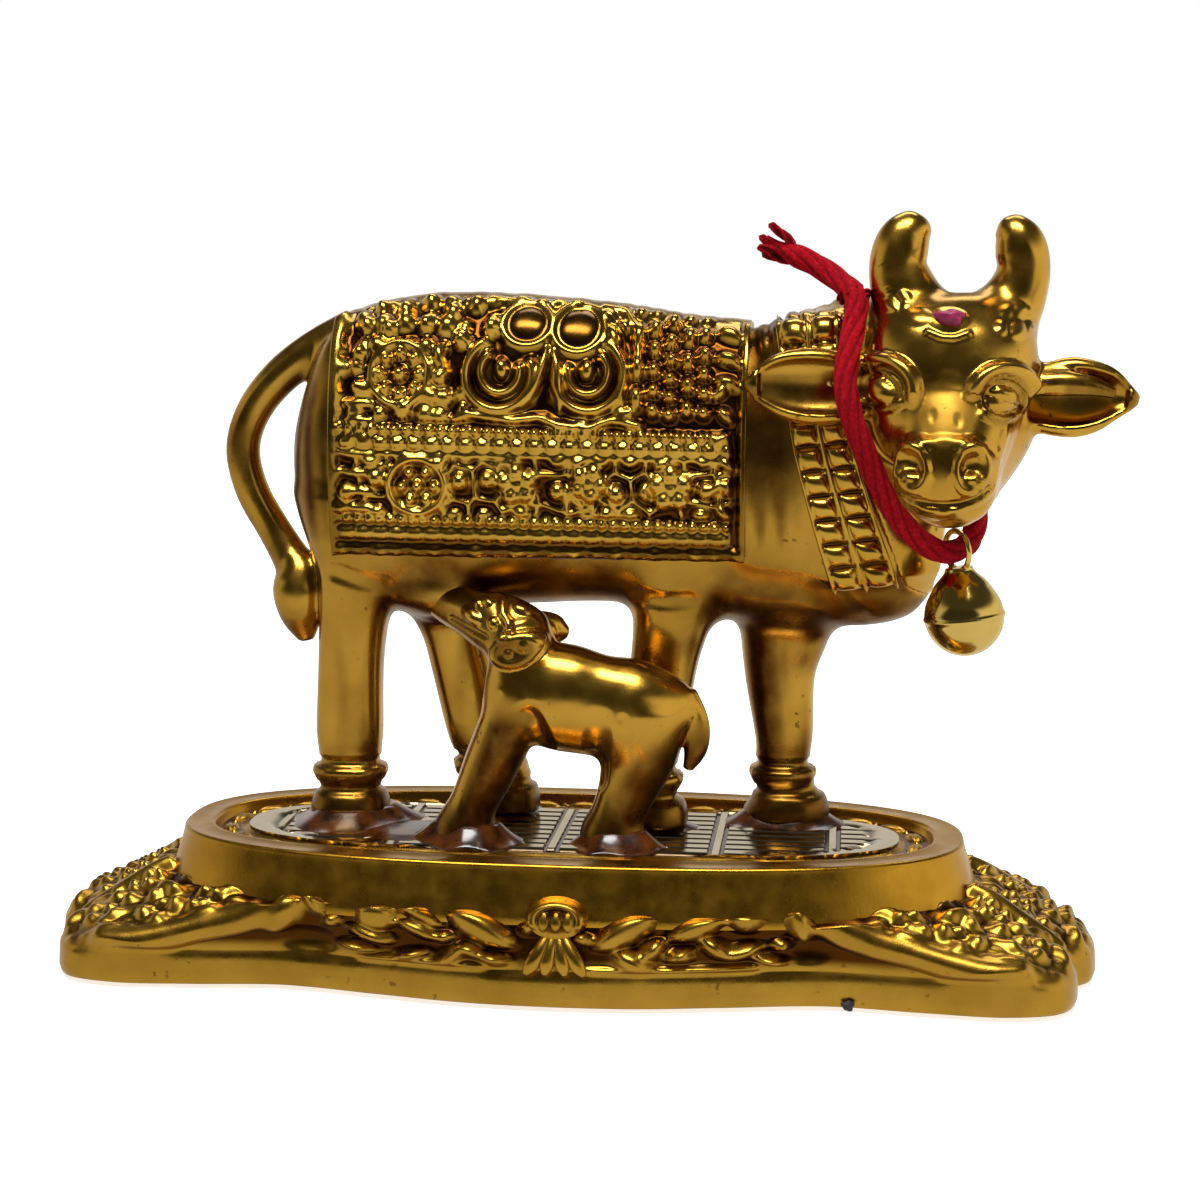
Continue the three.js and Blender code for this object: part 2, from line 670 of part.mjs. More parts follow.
function makeFigure() {
  const barrel = join([makeTrunk(), makeNeck()]);
  const head = makeHead();
  const face = skinOf(head);
  const bodies = [barrel, makeCloth(), head, makeTail(), makeUdder(), ...makeLegs(), ...makeCalf()];
  const relief = [...makeCollar(skinOf(barrel)), ...faceDetails(face)];
  return join([...bodies, ...relief]).subtract(mouthCut(face)).trimByPlane([0, 0, 1], 0);
}

// Places along the thread, by hand: from the frayed end over the knot and once round the neck
const threadPlaces = [
  [19.0, -1.5, 71.9],
  [21.4, -1.5, 70.6],
  [23.9, -1.8, 69.4],
  [26.3, -3.0, 67.8],
  [27.8, -5.0, 66.2],
  [27.6, -6.2, 63.8],
  [27.2, -7.9, 61.4],
  [26.9, -8.9, 58.6],
  [27.6, -8.9, 55.2],
  [28.9, -8.4, 52.0],
  [30.4, -7.4, 48.6],
  [32.2, -6.2, 45.6],
  [34.4, -5.2, 43.3],
  [36.6, -4.4, 42.2],
  [38.8, -3.0, 42.8],
  [39.8, -0.8, 45.0],
  [39.8, 1.6, 48.4],
  [39.2, 3.6, 52.0],
  [38.2, 5.0, 55.6],
  [37.0, 5.8, 59.0],
  [35.3, 5.9, 62.6],
  [33.8, 4.9, 66.2],
  [32.0, 2.7, 68.7],
  [30.4, 0.5, 69.1],
];

function makeThread() {
  const path = new THREE.CatmullRomCurve3(threadPlaces.map(([x, y, z]) => new THREE.Vector3(x, y, z)));
  const section = new THREE.Shape();
  section.absarc(0, 0, threadDiameter / 2, 0, Math.PI * 2);
  const tube = new THREE.ExtrudeGeometry(section, {
    steps: 22, curveSegments: 4, bevelEnabled: false, extrudePath: path,
  });
  return solid(tube);
}

// The bell is a hollow ball slit across its underside, hung by a wire loop round the thread
const bellTop = new THREE.Vector3(37.9, -3.68, 42.3);

function makeBell() {
  const outer = bellDiameter / 2;
  const loopRadius = threadDiameter / 2 + threadClearance + loopWire / 2;
  const hang = outer + bellNeck + loopRadius;
  const fall = new THREE.Vector3(Math.sin(bellTilt) * hang, 0, -Math.cos(bellTilt) * hang);
  const centre = bellTop.clone().add(fall);
  const belt = [[1, 0.08], [1.08, 0.08], [1.08, -0.08], [1, -0.08]];
  const arc = [];
  for (const [from, to] of [[0, 1.45], [1.7, Math.PI]]) {
    for (let i = 0; i <= 3; i += 1) {
      const angle = from + ((to - from) * i) / 3;
      arc.push([Math.sin(angle), Math.cos(angle)]);
    }
  }
  arc.splice(4, 0, ...belt);
  const profile = arc.reverse().map(([r, h]) => new THREE.Vector2(Math.max(r, 0) * outer, h * outer));
  const inside = new THREE.SphereGeometry(outer - bellWall, 10, 6);
  let ball = solid(new THREE.LatheGeometry(profile, 12)).subtract(solid(inside));
  const slit = new THREE.BoxGeometry(outer * 1.5, outer * 2, bellSlit);
  slit.translate(0, -outer * 1.1, 0);
  ball = ball.subtract(solid(slit));
  for (const hand of [-1, 1]) {
    const hole = new THREE.CylinderGeometry(bellSlit * 0.9, bellSlit * 0.9, outer * 2, 6);
    hole.translate(hand * outer * 0.75, -outer, 0);
    ball = ball.subtract(solid(hole));
  }
  const neck = new THREE.CylinderGeometry(1.4, 1.9, 2 * bellNeck, 8);
  neck.translate(0, outer, 0);
  const loop = new THREE.TorusGeometry(loopRadius, loopWire / 2, 4, 12);
  loop.rotateZ(Math.PI / 2);
  loop.rotateY(Math.PI / 2 + loopTurn);
  loop.translate(0, hang, 0);
  const geometry = geometryOf(join([ball, solid(neck), solid(loop)]));
  geometry.rotateX(Math.PI / 2);
  geometry.rotateY(-bellTilt);
  geometry.translate(centre.x, centre.y, centre.z);
  return geometry;
}

const gilding = new THREE.MeshStandardMaterial({ color: 0xb48a2c, roughness: 0.22, metalness: 1 });
const plinthGilding = new THREE.MeshStandardMaterial({ color: 0xa87f28, roughness: 0.34, metalness: 1 });
const cotton = new THREE.MeshStandardMaterial({ color: 0xb0121c, roughness: 0.9, metalness: 0 });
const brass = new THREE.MeshStandardMaterial({ color: 0xd2a63c, roughness: 0.25, metalness: 1 });

function piece(name, geometry, material) {
  const mesh = new THREE.Mesh(geometry, material);
  mesh.name = name;
  return mesh;
}

const group = new THREE.Group();
group.add(piece('plinth', geometryOf(makePlinth()), plinthGilding));

const figure = new THREE.Group();
figure.position.set(0, figureOffset, soleHeight);
figure.add(piece('cow_and_calf', geometryOf(makeFigure()), gilding));
group.add(figure);

const harness = new THREE.Group();
harness.add(piece('neck_thread', geometryOf(makeThread()), cotton));
harness.add(piece('bell', makeBell(), brass));
group.add(harness);

export default group;
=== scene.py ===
# A gilded cast cow with its suckling calf on an oval plinth, with a cotton thread and a bell.
import math
import bpy
import numpy as np
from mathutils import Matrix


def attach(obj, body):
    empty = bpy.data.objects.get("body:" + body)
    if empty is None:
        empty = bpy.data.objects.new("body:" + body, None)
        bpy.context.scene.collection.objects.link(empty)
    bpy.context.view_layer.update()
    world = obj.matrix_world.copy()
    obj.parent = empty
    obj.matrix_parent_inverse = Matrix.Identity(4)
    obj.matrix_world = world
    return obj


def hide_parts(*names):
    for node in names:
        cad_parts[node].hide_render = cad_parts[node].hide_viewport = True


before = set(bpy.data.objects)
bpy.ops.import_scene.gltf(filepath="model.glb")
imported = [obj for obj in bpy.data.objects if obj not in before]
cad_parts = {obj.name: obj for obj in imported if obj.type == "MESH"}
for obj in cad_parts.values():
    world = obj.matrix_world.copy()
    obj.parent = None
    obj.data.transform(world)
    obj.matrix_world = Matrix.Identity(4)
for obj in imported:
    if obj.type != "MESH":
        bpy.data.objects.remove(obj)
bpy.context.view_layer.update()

import openvdb
from mathutils import Matrix, Vector

millimetre = 0.001
figureShift = np.array([0.0, 4.0, 13.1])  # the figure's tables count from the mid-plane and the soles


# shared small tools

def circle(count):
    # angles a = 2 pi k / n
    return np.arange(count) / count * 2 * math.pi


def lengthAlong(line):
    # sum of |p(k) - p(k - 1)| up to each point of a chain
    return np.concatenate([[0], np.cumsum(np.linalg.norm(np.diff(line, axis=0), axis=1))])


def squareness(c, s, power):
    # radius of a superellipse where c = cos a and s = sin a: k = (|c|^q + |s|^q)^(-1 / q)
    return (np.abs(c) ** power + np.abs(s) ** power) ** (-1 / power)


def softMin(a, b, soft):
    # smooth union: min(a, b) - h^2 k / 4, h = max(k - |a - b|, 0) / k
    h = np.maximum(soft - np.abs(a - b), 0) / soft
    return np.minimum(a, b) - h * h * soft / 4


def hump(t):
    # 1 - t^2 for t between -1 and 1, else 0
    return np.clip(1 - t * t, 0, 1)


def smoothStep(low, high, value):
    # s(v) = t^2 (3 - 2 t), t = clip((v - low) / (high - low), 0, 1)
    t = np.clip((value - low) / (high - low), 0, 1)
    return t * t * (3 - 2 * t)


def smoothPath(rows, count):
    # uniform Catmull-Rom:
    # p(t) = (2 p1 + (p2 - p0) t + (2 p0 - 5 p1 + 4 p2 - p3) t^2 + (3 p1 - p0 - 3 p2 + p3) t^3) / 2
    rows = np.asarray(rows, float)
    padded = np.vstack([2 * rows[0] - rows[1], rows, 2 * rows[-1] - rows[-2]])
    t = np.linspace(0, len(rows) - 1, count)
    i = np.minimum(t.astype(int), len(rows) - 2)
    t = (t - i)[:, None]
    p0, p1, p2, p3 = padded[i], padded[i + 1], padded[i + 2], padded[i + 3]
    cubic = (3 * p1 - p0 - 3 * p2 + p3) * t ** 3
    return 0.5 * (2 * p1 + (p2 - p0) * t + (2 * p0 - 5 * p1 + 4 * p2 - p3) * t ** 2 + cubic)


def chordPath(points, count, closed=False):
    # centripetal Catmull-Rom, d = sqrt(chord): a Hermite cubic per stretch with the end slope
    # m = ((q1 - q0) / d0 - (q2 - q0) / (d0 + d1) + (q2 - q1) / d1) d1
    p = np.asarray(points, float)
    n = len(p)
    if closed:
        padded = np.vstack([p[-1], p, p[0], p[1]])
        t = np.arange(count) / count * n
    else:
        padded = np.vstack([2 * p[0] - p[1], p, 2 * p[-1] - p[-2]])
        t = np.linspace(0, n - 1, count)
    i = np.minimum(t.astype(int), n - 1 if closed else n - 2)
    t = (t - i)[:, None]
    q = [padded[i + k] for k in range(4)]
    d = [np.maximum(np.linalg.norm(q[k + 1] - q[k], axis=1, keepdims=True) ** 0.5, 1e-4) for k in range(3)]
    start = ((q[1] - q[0]) / d[0] - (q[2] - q[0]) / (d[0] + d[1]) + (q[2] - q[1]) / d[1]) * d[1]
    end = ((q[2] - q[1]) / d[1] - (q[3] - q[1]) / (d[1] + d[2]) + (q[3] - q[2]) / d[2]) * d[1]
    bend = -3 * q[1] + 3 * q[2] - 2 * start - end
    return q[1] + start * t + bend * t ** 2 + (2 * q[1] - 2 * q[2] + start + end) * t ** 3


def eased(line, passes):
    # each row moves to 1/4, 1/2, 1/4 of itself and its neighbours, so highlights flow on
    for _ in range(passes):
        line[1:-1] = (line[:-2] + 2 * line[1:-1] + line[2:]) / 4
    return line


def unit(v):
    # v / |v|
    return v / np.maximum(np.linalg.norm(v, axis=-1, keepdims=True), 1e-12)


def gridFaces(rows, columns, closed):
    # quads of a grid with point number row * columns + column; closed joins the last column to the first
    r = np.arange(rows - 1)[:, None]
    c = np.arange(columns if closed else columns - 1)[None, :]
    n = (c + 1) % columns
    return np.stack(np.broadcast_arrays(
        r * columns + c, r * columns + n, (r + 1) * columns + n, (r + 1) * columns + c), -1).reshape(-1, 4)


def tubeBody(rings):
    # rings (rows, columns, 3) joined in order, each end closed by a fan round its middle
    rows, columns, _ = rings.shape
    points = np.vstack([rings.reshape(-1, 3), rings[0].mean(0), rings[-1].mean(0)])
    c = np.arange(columns)
    n = (c + 1) % columns
    first = rows * columns
    last = (rows - 1) * columns
    fans = np.vstack([
        np.stack([n, c, np.full(columns, first)], 1),
        np.stack([last + c, last + n, np.full(columns, first + 1)], 1)])
    return points, gridFaces(rows, columns, True), fans


def sheetBody(outer, depth, skip):
    # a closed slab: the outer grid, its back moved by depth on every skip-th column, and the four edges
    rows, columns, _ = outer.shape
    back = (outer + depth)[:, ::skip]
    short = back.shape[1]
    points = np.vstack([outer.reshape(-1, 3), back.reshape(-1, 3)])
    base = rows * columns
    faces = np.vstack([gridFaces(rows, columns, False), base + gridFaces(rows, short, False)[:, ::-1]])
    r = np.arange(rows - 1)
    sides = []
    for fine, coarse, order in ((0, 0, 1), (columns - 1, short - 1, -1)):
        a, b = r * columns + fine, (r + 1) * columns + fine
        c, d = base + (r + 1) * short + coarse, base + r * short + coarse
        sides.append(np.stack([a, b, c, d], 1)[:, ::order])
    fans = []
    fine = np.arange(columns - 1)
    coarse = np.arange(short - 1)
    nearest = (fine + skip // 2) // skip
    turn = np.minimum(coarse * skip + (skip + 1) // 2, columns - 1)
    for row, order in ((0, -1), (rows - 1, 1)):
        first, behind = row * columns, base + row * short
        fans.append(np.stack([first + fine, first + fine + 1, behind + nearest], 1)[:, ::order])
        fans.append(np.stack([behind + coarse + 1, behind + coarse, first + turn], 1)[:, ::order])
    return points, np.vstack([faces, *sides]), np.vstack(fans)


def together(bodies):
    # several closed bodies as one list of points, quads and triangles
    points, quads, fans, base = [], [], [], 0
    for p, q, t in bodies:
        points.append(p)
        quads.append(q + base)
        fans.append(t + base)
        base += len(p)
    return np.vstack(points), np.vstack(quads), np.vstack(fans)


def signedVolume(points, quads, fans):
    # V = sum of a . (b x c) / 6 over the triangles
    tris = np.vstack([quads[:, [0, 1, 2]], quads[:, [0, 2, 3]], fans])
    a, b, c = (points[tris[:, k]] for k in range(3))
    return np.einsum("ij,ij->i", a, np.cross(b, c)).sum() / 6


def addPiece(name, body, material, slotName, replaced=(), attributes=None, sharp=None):
    # points in millimetres become a mesh in metres, outside out, that rides on the one body
    points, quads, fans = body
    if signedVolume(points, quads, fans) < 0:
        quads, fans = quads[:, ::-1], fans[:, ::-1]
    corners = np.concatenate([quads.ravel(), fans.ravel()]).astype(np.int32)
    sizes = np.concatenate([np.full(len(quads), 4), np.full(len(fans), 3)])
    starts = np.concatenate([[0], np.cumsum(sizes)[:-1]]).astype(np.int32)
    mesh = bpy.data.meshes.new(name)
    mesh.vertices.add(len(points))
    mesh.vertices.foreach_set("co", (points * millimetre).astype(np.float32).ravel())
    mesh.loops.add(len(corners))
    mesh.loops.foreach_set("vertex_index", corners)
    mesh.polygons.add(len(starts))
    mesh.polygons.foreach_set("loop_start", starts)
    mesh.polygons.foreach_set("use_smooth", np.ones(len(starts), bool))
    mesh.update(calc_edges=True)
    if sharp is not None:
        mesh.set_sharp_from_angle(angle=math.radians(sharp))
    for key, values in (attributes or {}).items():
        layer = mesh.attributes.new(key, "FLOAT", "POINT")
        layer.data.foreach_set("value", np.asarray(values, np.float32).ravel())
    mesh.materials.append(material)
    piece = bpy.data.objects.new(name, mesh)
    bpy.context.scene.collection.objects.link(piece)
    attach(piece, "root")
    if replaced:
        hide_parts(*replaced)
    print(name, len(quads) * 2 + len(fans), "triangles")
    return piece


# camera

camera = dict(place=(27.264, -216.352, 67.866), yaw=6.42, pitch=8.26, roll=0.21, lens=66, sensor=36,
              clip=(0.01, 20))


def makeCamera():
    # forward = (-sin yaw cos pitch, cos yaw cos pitch, -sin pitch), then a roll about it
    yaw, pitch, roll = (math.radians(camera[k]) for k in ("yaw", "pitch", "roll"))
    forward = Vector((-math.sin(yaw) * math.cos(pitch), math.cos(yaw) * math.cos(pitch), -math.sin(pitch)))
    level = Vector((math.cos(yaw), math.sin(yaw), 0))
    over = level.cross(forward)
    side = level * math.cos(roll) + over * math.sin(roll)
    up = over * math.cos(roll) - level * math.sin(roll)
    data = bpy.data.cameras.new("camera")
    data.lens, data.sensor_width = camera["lens"], camera["sensor"]
    data.clip_start, data.clip_end = camera["clip"]
    seen = bpy.data.objects.new("camera", data)
    seen.matrix_world = Matrix.Translation(Vector(camera["place"]) * millimetre) @ Matrix(
        (side, up, -forward)).transposed().to_4x4()
    bpy.context.scene.collection.objects.link(seen)
    bpy.context.scene.camera = seen


makeCamera()
print("camera is set")

# materials


def fromHex(code):
    # sRGB hex to linear: c / 12.92 below 0.04045, else ((c + 0.055) / 1.055)^2.4
    channels = [int(code[i:i + 2], 16) / 255 for i in (1, 3, 5)]
    return (*[c / 12.92 if c <= 0.04045 else ((c + 0.055) / 1.055) ** 2.4 for c in channels], 1.0)


def node(tree, kind, settings=None, **inputs):
    # adds a node, sets its settings, and fills or links its inputs by name or number
    made = tree.nodes.new("ShaderNode" + kind)
    for key, value in (settings or {}).items():
        setattr(made, key, value)
    for key, value in inputs.items():
        numbered = key[0] == "i" and key[1:].isdigit()
        socket = made.inputs[int(key[1:])] if numbered else made.inputs[key.replace("_", " ")]
        if isinstance(value, bpy.types.NodeSocket):
            tree.links.new(value, socket)
        else:
            socket.default_value = value
    return made


def newMaterial(name):
    # a principled shader on its output, and the object's own coordinates for the patterns
    material = bpy.data.materials.new(name)
    material.use_nodes = True
    tree = material.node_tree
    tree.nodes.clear()
    shader = node(tree, "BsdfPrincipled")
    output = node(tree, "OutputMaterial")
    tree.links.new(shader.outputs[0], output.inputs[0])
    return material, tree, shader, node(tree, "TexCoord").outputs["Object"]


def ramp(tree, factor, stops):
    # colours at their positions, linear between
    made = node(tree, "ValToRGB", Fac=factor)
    line = made.color_ramp
    while len(line.elements) < len(stops):
        line.elements.new(0.5)
    for element, (position, code) in zip(line.elements, stops):
        element.position, element.color = position, fromHex(code)
    return made.outputs["Color"]


def noise(tree, place, scale, detail):
    # fractal noise, 1 / scale metres across
    return node(tree, "TexNoise", Vector=place, Scale=scale, Detail=detail).outputs["Fac"]


def calc(tree, operation, *values):
    # one arithmetic node, its values in order
    return node(tree, "Math", {"operation": operation},
                **{f"i{k}": v for k, v in enumerate(values)}).outputs[0]


def mapped(tree, value, low, high, toLow=0.0, toHigh=1.0, bend="LINEAR"):
    # toLow + (toHigh - toLow) clip((value - low) / (high - low), 0, 1), or its smooth step
    return node(tree, "MapRange", {"interpolation_type": bend}, i0=value, i1=low, i2=high, i3=toLow,
                i4=toHigh).outputs[0]


def attribute(tree, name):
    # a value stored on the mesh's points
    return node(tree, "Attribute", {"attribute_name": name}).outputs["Fac"]


def mixed(tree, factor, first, code):
    # first (1 - f) + colour f
    return node(tree, "Mix", {"data_type": "RGBA"}, i0=factor, i6=first, i7=fromHex(code)).outputs[2]


def bump(tree, height, depth, **under):
    # relief of that depth in millimetres
    return node(tree, "Bump", Height=height, Strength=1.0, Distance=depth * millimetre, **under).outputs[0]


def goldPlate(name, polish, wave, grain, tint, shade, paintedShadeColour=None, specks=0.0):
    # electroplated gold on a cast zinc body: a mirror with the casting's slow waves, with painted shade
    # in a browner colour where the mesh marks recesses
    material, tree, shader, place = newMaterial(name)
    shader.inputs["Metallic"].default_value = 1.0
    # patches about 8 mm across
    colour = ramp(tree, noise(tree, place, 120.0, 3.0), [(0.3, shade), (0.7, tint)])
    if paintedShadeColour:
        # painted shade: the recesses are mixed towards a darker brown
        colour = mixed(tree, attribute(tree, "paintedShade"), colour, paintedShadeColour)
    dullness = mapped(tree, noise(tree, place, 420.0, 4.0), 0.35, 0.75, *polish)  # worn patches 2 mm across
    if specks:
        # tarnish in specks of 1 mm, and glue stains, grime and painted shade in patches whose edges break up
        # over 3 mm
        dark = mapped(tree, noise(tree, place, 900.0, 4.0), 0.66, 0.72, 0.0, specks)
        uneven = mapped(tree, noise(tree, place, 330.0, 5.0), 0.35, 0.6, 0.72, 1.0)
        dirtAndShade = calc(tree, "MAXIMUM", dark, calc(tree, "MULTIPLY", attribute(tree, "stainAndShade"), uneven))
        colour = mixed(tree, dirtAndShade, colour, dirtAndShadeBrown)
        dullness = calc(tree, "MULTIPLY_ADD", dirtAndShade, 0.12, dullness)
        dullness = calc(tree, "MULTIPLY_ADD", attribute(tree, "worn"), 0.24, dullness)
    tree.links.new(colour, shader.inputs["Base Color"])
    tree.links.new(dullness, shader.inputs["Roughness"])
    swell = bump(tree, noise(tree, place, 260.0, 2.0), wave)  # waves of the casting, 4 mm
    pits = bump(tree, noise(tree, place, 3200.0, 3.0), grain, Normal=swell)  # plating grain, 0.3 mm
    tree.links.new(pits, shader.inputs["Normal"])
    return material


# brown for glue stains and grime, and also for painted shade
dirtAndShadeBrown = "#4f2b0c"
figureGold = goldPlate("goldPlateOnCastZinc", (0.17, 0.3), 0.022, 0.0035, "#c99c3d", "#b98b32", None, 0.7)
# for the cloth, wall, skirt and floor plates the third colour is the painted shade in their recesses
clothGold = goldPlate("goldPlateCarvedCloth", (0.17, 0.3), 0.015, 0.004, "#cfa544", "#b88c30", "#4e2d0a")
wallGold = goldPlate("goldPlateGrainyWall", (0.24, 0.38), 0.02, 0.011, "#c1902a", "#a87a22", "#6b4714")
skirtGold = goldPlate("goldPlateCastSkirt", (0.24, 0.38), 0.03, 0.007, "#bb9034", "#a37a29", "#4c2a08", 0.5)
floorGold = goldPlate("goldPlateTiledFloor", (0.1, 0.2), 0.006, 0.003, "#cdbf9f", "#b8a884", "#4a3210")
bellBrass = goldPlate("polishedBellBrass", (0.1, 0.24), 0.02, 0.003, "#dcc070", "#c9a850")


def twistedCotton():
    # dyed cotton yarn, twisted of plies: matt fibres with a soft sheen, and painted shade between the plies
    material, tree, shader, place = newMaterial("twistedCottonYarn")
    alongPly = node(tree, "CombineXYZ", i0=attribute(tree, "strand")).outputs[0]
    fibre = node(tree, "TexNoise", {"noise_dimensions": "2D"}, Vector=alongPly, Scale=90.0,
                 Detail=4.0).outputs["Fac"]
    blend = calc(tree, "MULTIPLY_ADD", fibre, 0.6, noise(tree, place, 2600.0, 4.0))  # loose fibres, 0.4 mm
    colour = ramp(tree, blend, [(0.45, "#9c0614"), (0.8, "#be0a1c"), (1.0, "#d21f30")])
    tree.links.new(mixed(tree, attribute(tree, "paintedShade"), colour, "#6e040e"), shader.inputs["Base Color"])
    shader.inputs["Roughness"].default_value = 0.85
    shader.inputs["Sheen Weight"].default_value = 0.06
    shader.inputs["Sheen Tint"].default_value = fromHex("#e87078")
    shader.inputs["Specular IOR Level"].default_value = 0.1
    tree.links.new(bump(tree, blend, 0.12), shader.inputs["Normal"])
    return material


def unevenFilm(name, scale, detail, dark, light, roughness, depth):
    # a film with a cloudy colour and a surface that rises and falls with it
    material, tree, shader, place = newMaterial(name)
    cloud = noise(tree, place, scale, detail)
    tree.links.new(ramp(tree, cloud, [(0.35, dark), (0.7, light)]), shader.inputs["Base Color"])
    shader.inputs["Roughness"].default_value = roughness
    tree.links.new(bump(tree, cloud, depth), shader.inputs["Normal"])
    return material, shader


def amberGlue():
    # a pool of clear resin that has browned: glossy, with swirls 2 mm across
    material, shader = unevenFilm("brownedResinGlue", 500.0, 2.0, "#220c03", "#5c2e0a", 0.2, 0.05)
    shader.inputs["Coat Weight"].default_value = 0.35
    shader.inputs["Coat Roughness"].default_value = 0.16
    return material


def brushedPaint(name, dark, light, roughness):
    # a dab of paint or a chip, uneven in colour and sheen, with brush marks 0.7 mm across
    return unevenFilm(name, 1500.0, 3.0, dark, light, roughness, 0.08)[0]


cottonRed = twistedCotton()
resin = amberGlue()
tilakPaint = brushedPaint("magentaPaintDab", "#7d1340", "#b3205e", 0.45)
chipBlack = brushedPaint("chippedBareZinc", "#0f0f14", "#2b2a31", 0.6)
print("materials are made")

# thread

thread = dict(diameter=2.2, length=77.5, plyPitch=21.0, plies=6, around=36, steps=620,
              thinFrom=582, thinTo=612, thinBy=0.62)
knot = dict(middle=(27.6, -4.2, 66.4), axis=(0.75, -0.35, -0.55), radius=1.05, turns=2.1, height=2.2,
            yarn=0.5)
fray = dict(start=(22.4, -1.6, 70.1),
            ends=((19.3, -2.4, 73.3), (18.3, -0.8, 72.2), (18.2, -2.6, 71.0), (18.6, -0.6, 70.6)), yarn=0.6,
            steps=40)
threadPlaces = [
    (19.0, -1.5, 71.9), (21.4, -1.5, 70.6), (23.9, -1.8, 69.4), (26.3, -3.0, 67.8), (27.8, -5.0, 66.2),
    (27.6, -6.2, 63.8), (27.2, -7.9, 61.4), (26.9, -8.9, 58.6), (27.6, -8.9, 55.2), (28.9, -8.4, 52.0),
    (30.4, -7.4, 48.6), (32.2, -6.2, 45.6), (34.4, -5.2, 43.3), (36.6, -4.4, 42.2), (38.8, -3.0, 42.8),
    (39.8, -0.8, 45.0), (39.8, 1.6, 48.4), (39.2, 3.6, 52.0), (38.2, 5.0, 55.6), (37.0, 5.8, 59.0),
    (35.3, 5.9, 62.6), (33.8, 4.9, 66.2), (32.0, 2.7, 68.7), (30.4, 0.5, 69.1)]


def carriedFrames(line):
    # tangent by differences; the side vector is carried along with the least turn: s = unit(s - (s . t) t)
    tangent = unit(np.gradient(line, axis=0))
    side = np.zeros_like(line)
    held = unit(np.cross(tangent[0], [0.3, 0.2, 1.0]))
    for i, t in enumerate(tangent):
        held = held - held.dot(t) * t
        held = held / np.linalg.norm(held)
        side[i] = held
    return side, np.cross(tangent, side)


def rope(line, radius, plies, pitch, around, taper=1.0):
    # r(a, s) = R max over plies of (d cos(a - b) + sqrt(q^2 - d^2 sin(a - b)^2)),
    # b = 2 pi (k / plies + s / pitch)
    side, over = carriedFrames(line)
    s = lengthAlong(line)[:, None]
    a = circle(around)[None, :]
    plyOffset, plyRadius = 0.58, 0.42
    turned = a - 2 * math.pi * s / pitch
    gap = (turned + math.pi / plies) % (2 * math.pi / plies) - math.pi / plies
    reach = plyOffset * np.cos(gap) + np.sqrt(np.maximum(plyRadius ** 2 - (plyOffset * np.sin(gap)) ** 2, 0))
    r = radius * reach * (np.ones(len(line)) * taper)[:, None]
    rings = line[:, None, :] + r[..., None] * (
        np.cos(a)[..., None] * side[:, None, :] + np.sin(a)[..., None] * over[:, None, :])
    # painted shade in the hollows between the plies
    paintedShade = smoothStep(0.95, 0.75, reach)
    strand = turned * 1.3 + 0.05 * s
    ends = np.zeros(2)
    return tubeBody(rings), np.concatenate([paintedShade.ravel(), ends]), np.concatenate([strand.ravel(), ends])


def makeThread():
    # three pieces of one twisted yarn: the run round the neck, the knot and the frayed end
    def yarn(name, body, paintedShade, strand, replaced=()):
        return addPiece(name, body, cottonRed, "cotton", replaced, {"paintedShade": paintedShade, "strand": strand})
    steps = thread["steps"]
    line = chordPath(threadPlaces, steps)[::-1]
    # the last stretch before the frayed end is drawn in
    taper = 1 - thread["thinBy"] * smoothStep(thread["thinFrom"], thread["thinTo"], np.arange(steps))
    radius = thread["diameter"] / 2 * 1.04  # the hollows between the plies take a little off the mean
    main = yarn("thread", *rope(line, radius, thread["plies"], thread["plyPitch"], thread["around"], taper),
                ["neck_thread"])
    # knot: two turns of the yarn round the crossing, p(t) = m + r (cos, sin)(2 pi n t) + axis h (t - 1/2)
    t = np.linspace(0, 1, 150)
    a = t * 2 * math.pi * knot["turns"]
    axis = unit(np.array(knot["axis"]))
    side = unit(np.cross(axis, [0, 0, 1.0]))
    over = np.cross(axis, side)
    ring = np.cos(a)[:, None] * side + np.sin(a)[:, None] * over
    ring = np.array(knot["middle"]) + knot["radius"] * ring
    ring = ring + axis * ((t - 0.5) * knot["height"])[:, None]
    swelling = np.sin(np.clip(t, 0.03, 0.97) * math.pi) ** 0.3
    knotMade = yarn("thread_knot", *rope(ring, knot["yarn"], 3, 5.0, 24, swelling))
    # frayed end: strands that part from the last millimetres
    start = np.array(fray["start"])
    t = np.linspace(0, 1, fray["steps"])
    strands = []
    for k, end in enumerate(fray["ends"]):
        bow = (start + end) / 2 + np.array([0.1, 0.25 * (-1) ** k, 0.35 * (-1) ** k])
        path = smoothPath([start, bow, end], fray["steps"])
        strands.append(rope(path, fray["yarn"], 3, 6.0, 14, (1 - 0.28 * t) * smoothStep(1.02, 0.93, t)))
    bodies, recesses, lays = zip(*strands)
    frayMade = yarn("thread_fray", together(bodies), np.concatenate(recesses), np.concatenate(lays))
    return main, knotMade, frayMade, line


threadPiece, knotPiece, frayPiece, threadLine = makeThread()

# cast figure by distance fields


def limb(rows, sideways, around=64, between=14, shift=figureShift, ease=8):
    # p(s, a) = c(s) + side w(s) k cos a + up h(s) k sin a, k = (|cos a|^q + |sin a|^q)^(-1 / q)
    # a row is (x, y, z, w, h) or (x, y, z, w, h, q), with q = 2 where it isn't said
    rows = [tuple(r) + (2.0,) * (6 - len(r)) for r in rows]
    line = eased(smoothPath(rows, (len(rows) - 1) * between + 1), ease)
    middle = line[:, :3] + shift
    tangent = unit(np.gradient(middle, axis=0))
    sideways = np.asarray(sideways, float)
    side = unit(sideways - tangent * (tangent @ sideways)[:, None])
    up = np.cross(tangent, side)
    c, s = np.cos(circle(around))[None, :], np.sin(circle(around))[None, :]
    k = squareness(c, s, line[:, 5:6])
    girth = np.maximum(line[:, 3:5], 0.05)
    rings = (middle[:, None, :] + (girth[:, 0:1] * k * c)[..., None] * side[:, None, :]
             + (girth[:, 1:2] * k * s)[..., None] * up[:, None, :])
    return tubeBody(rings)


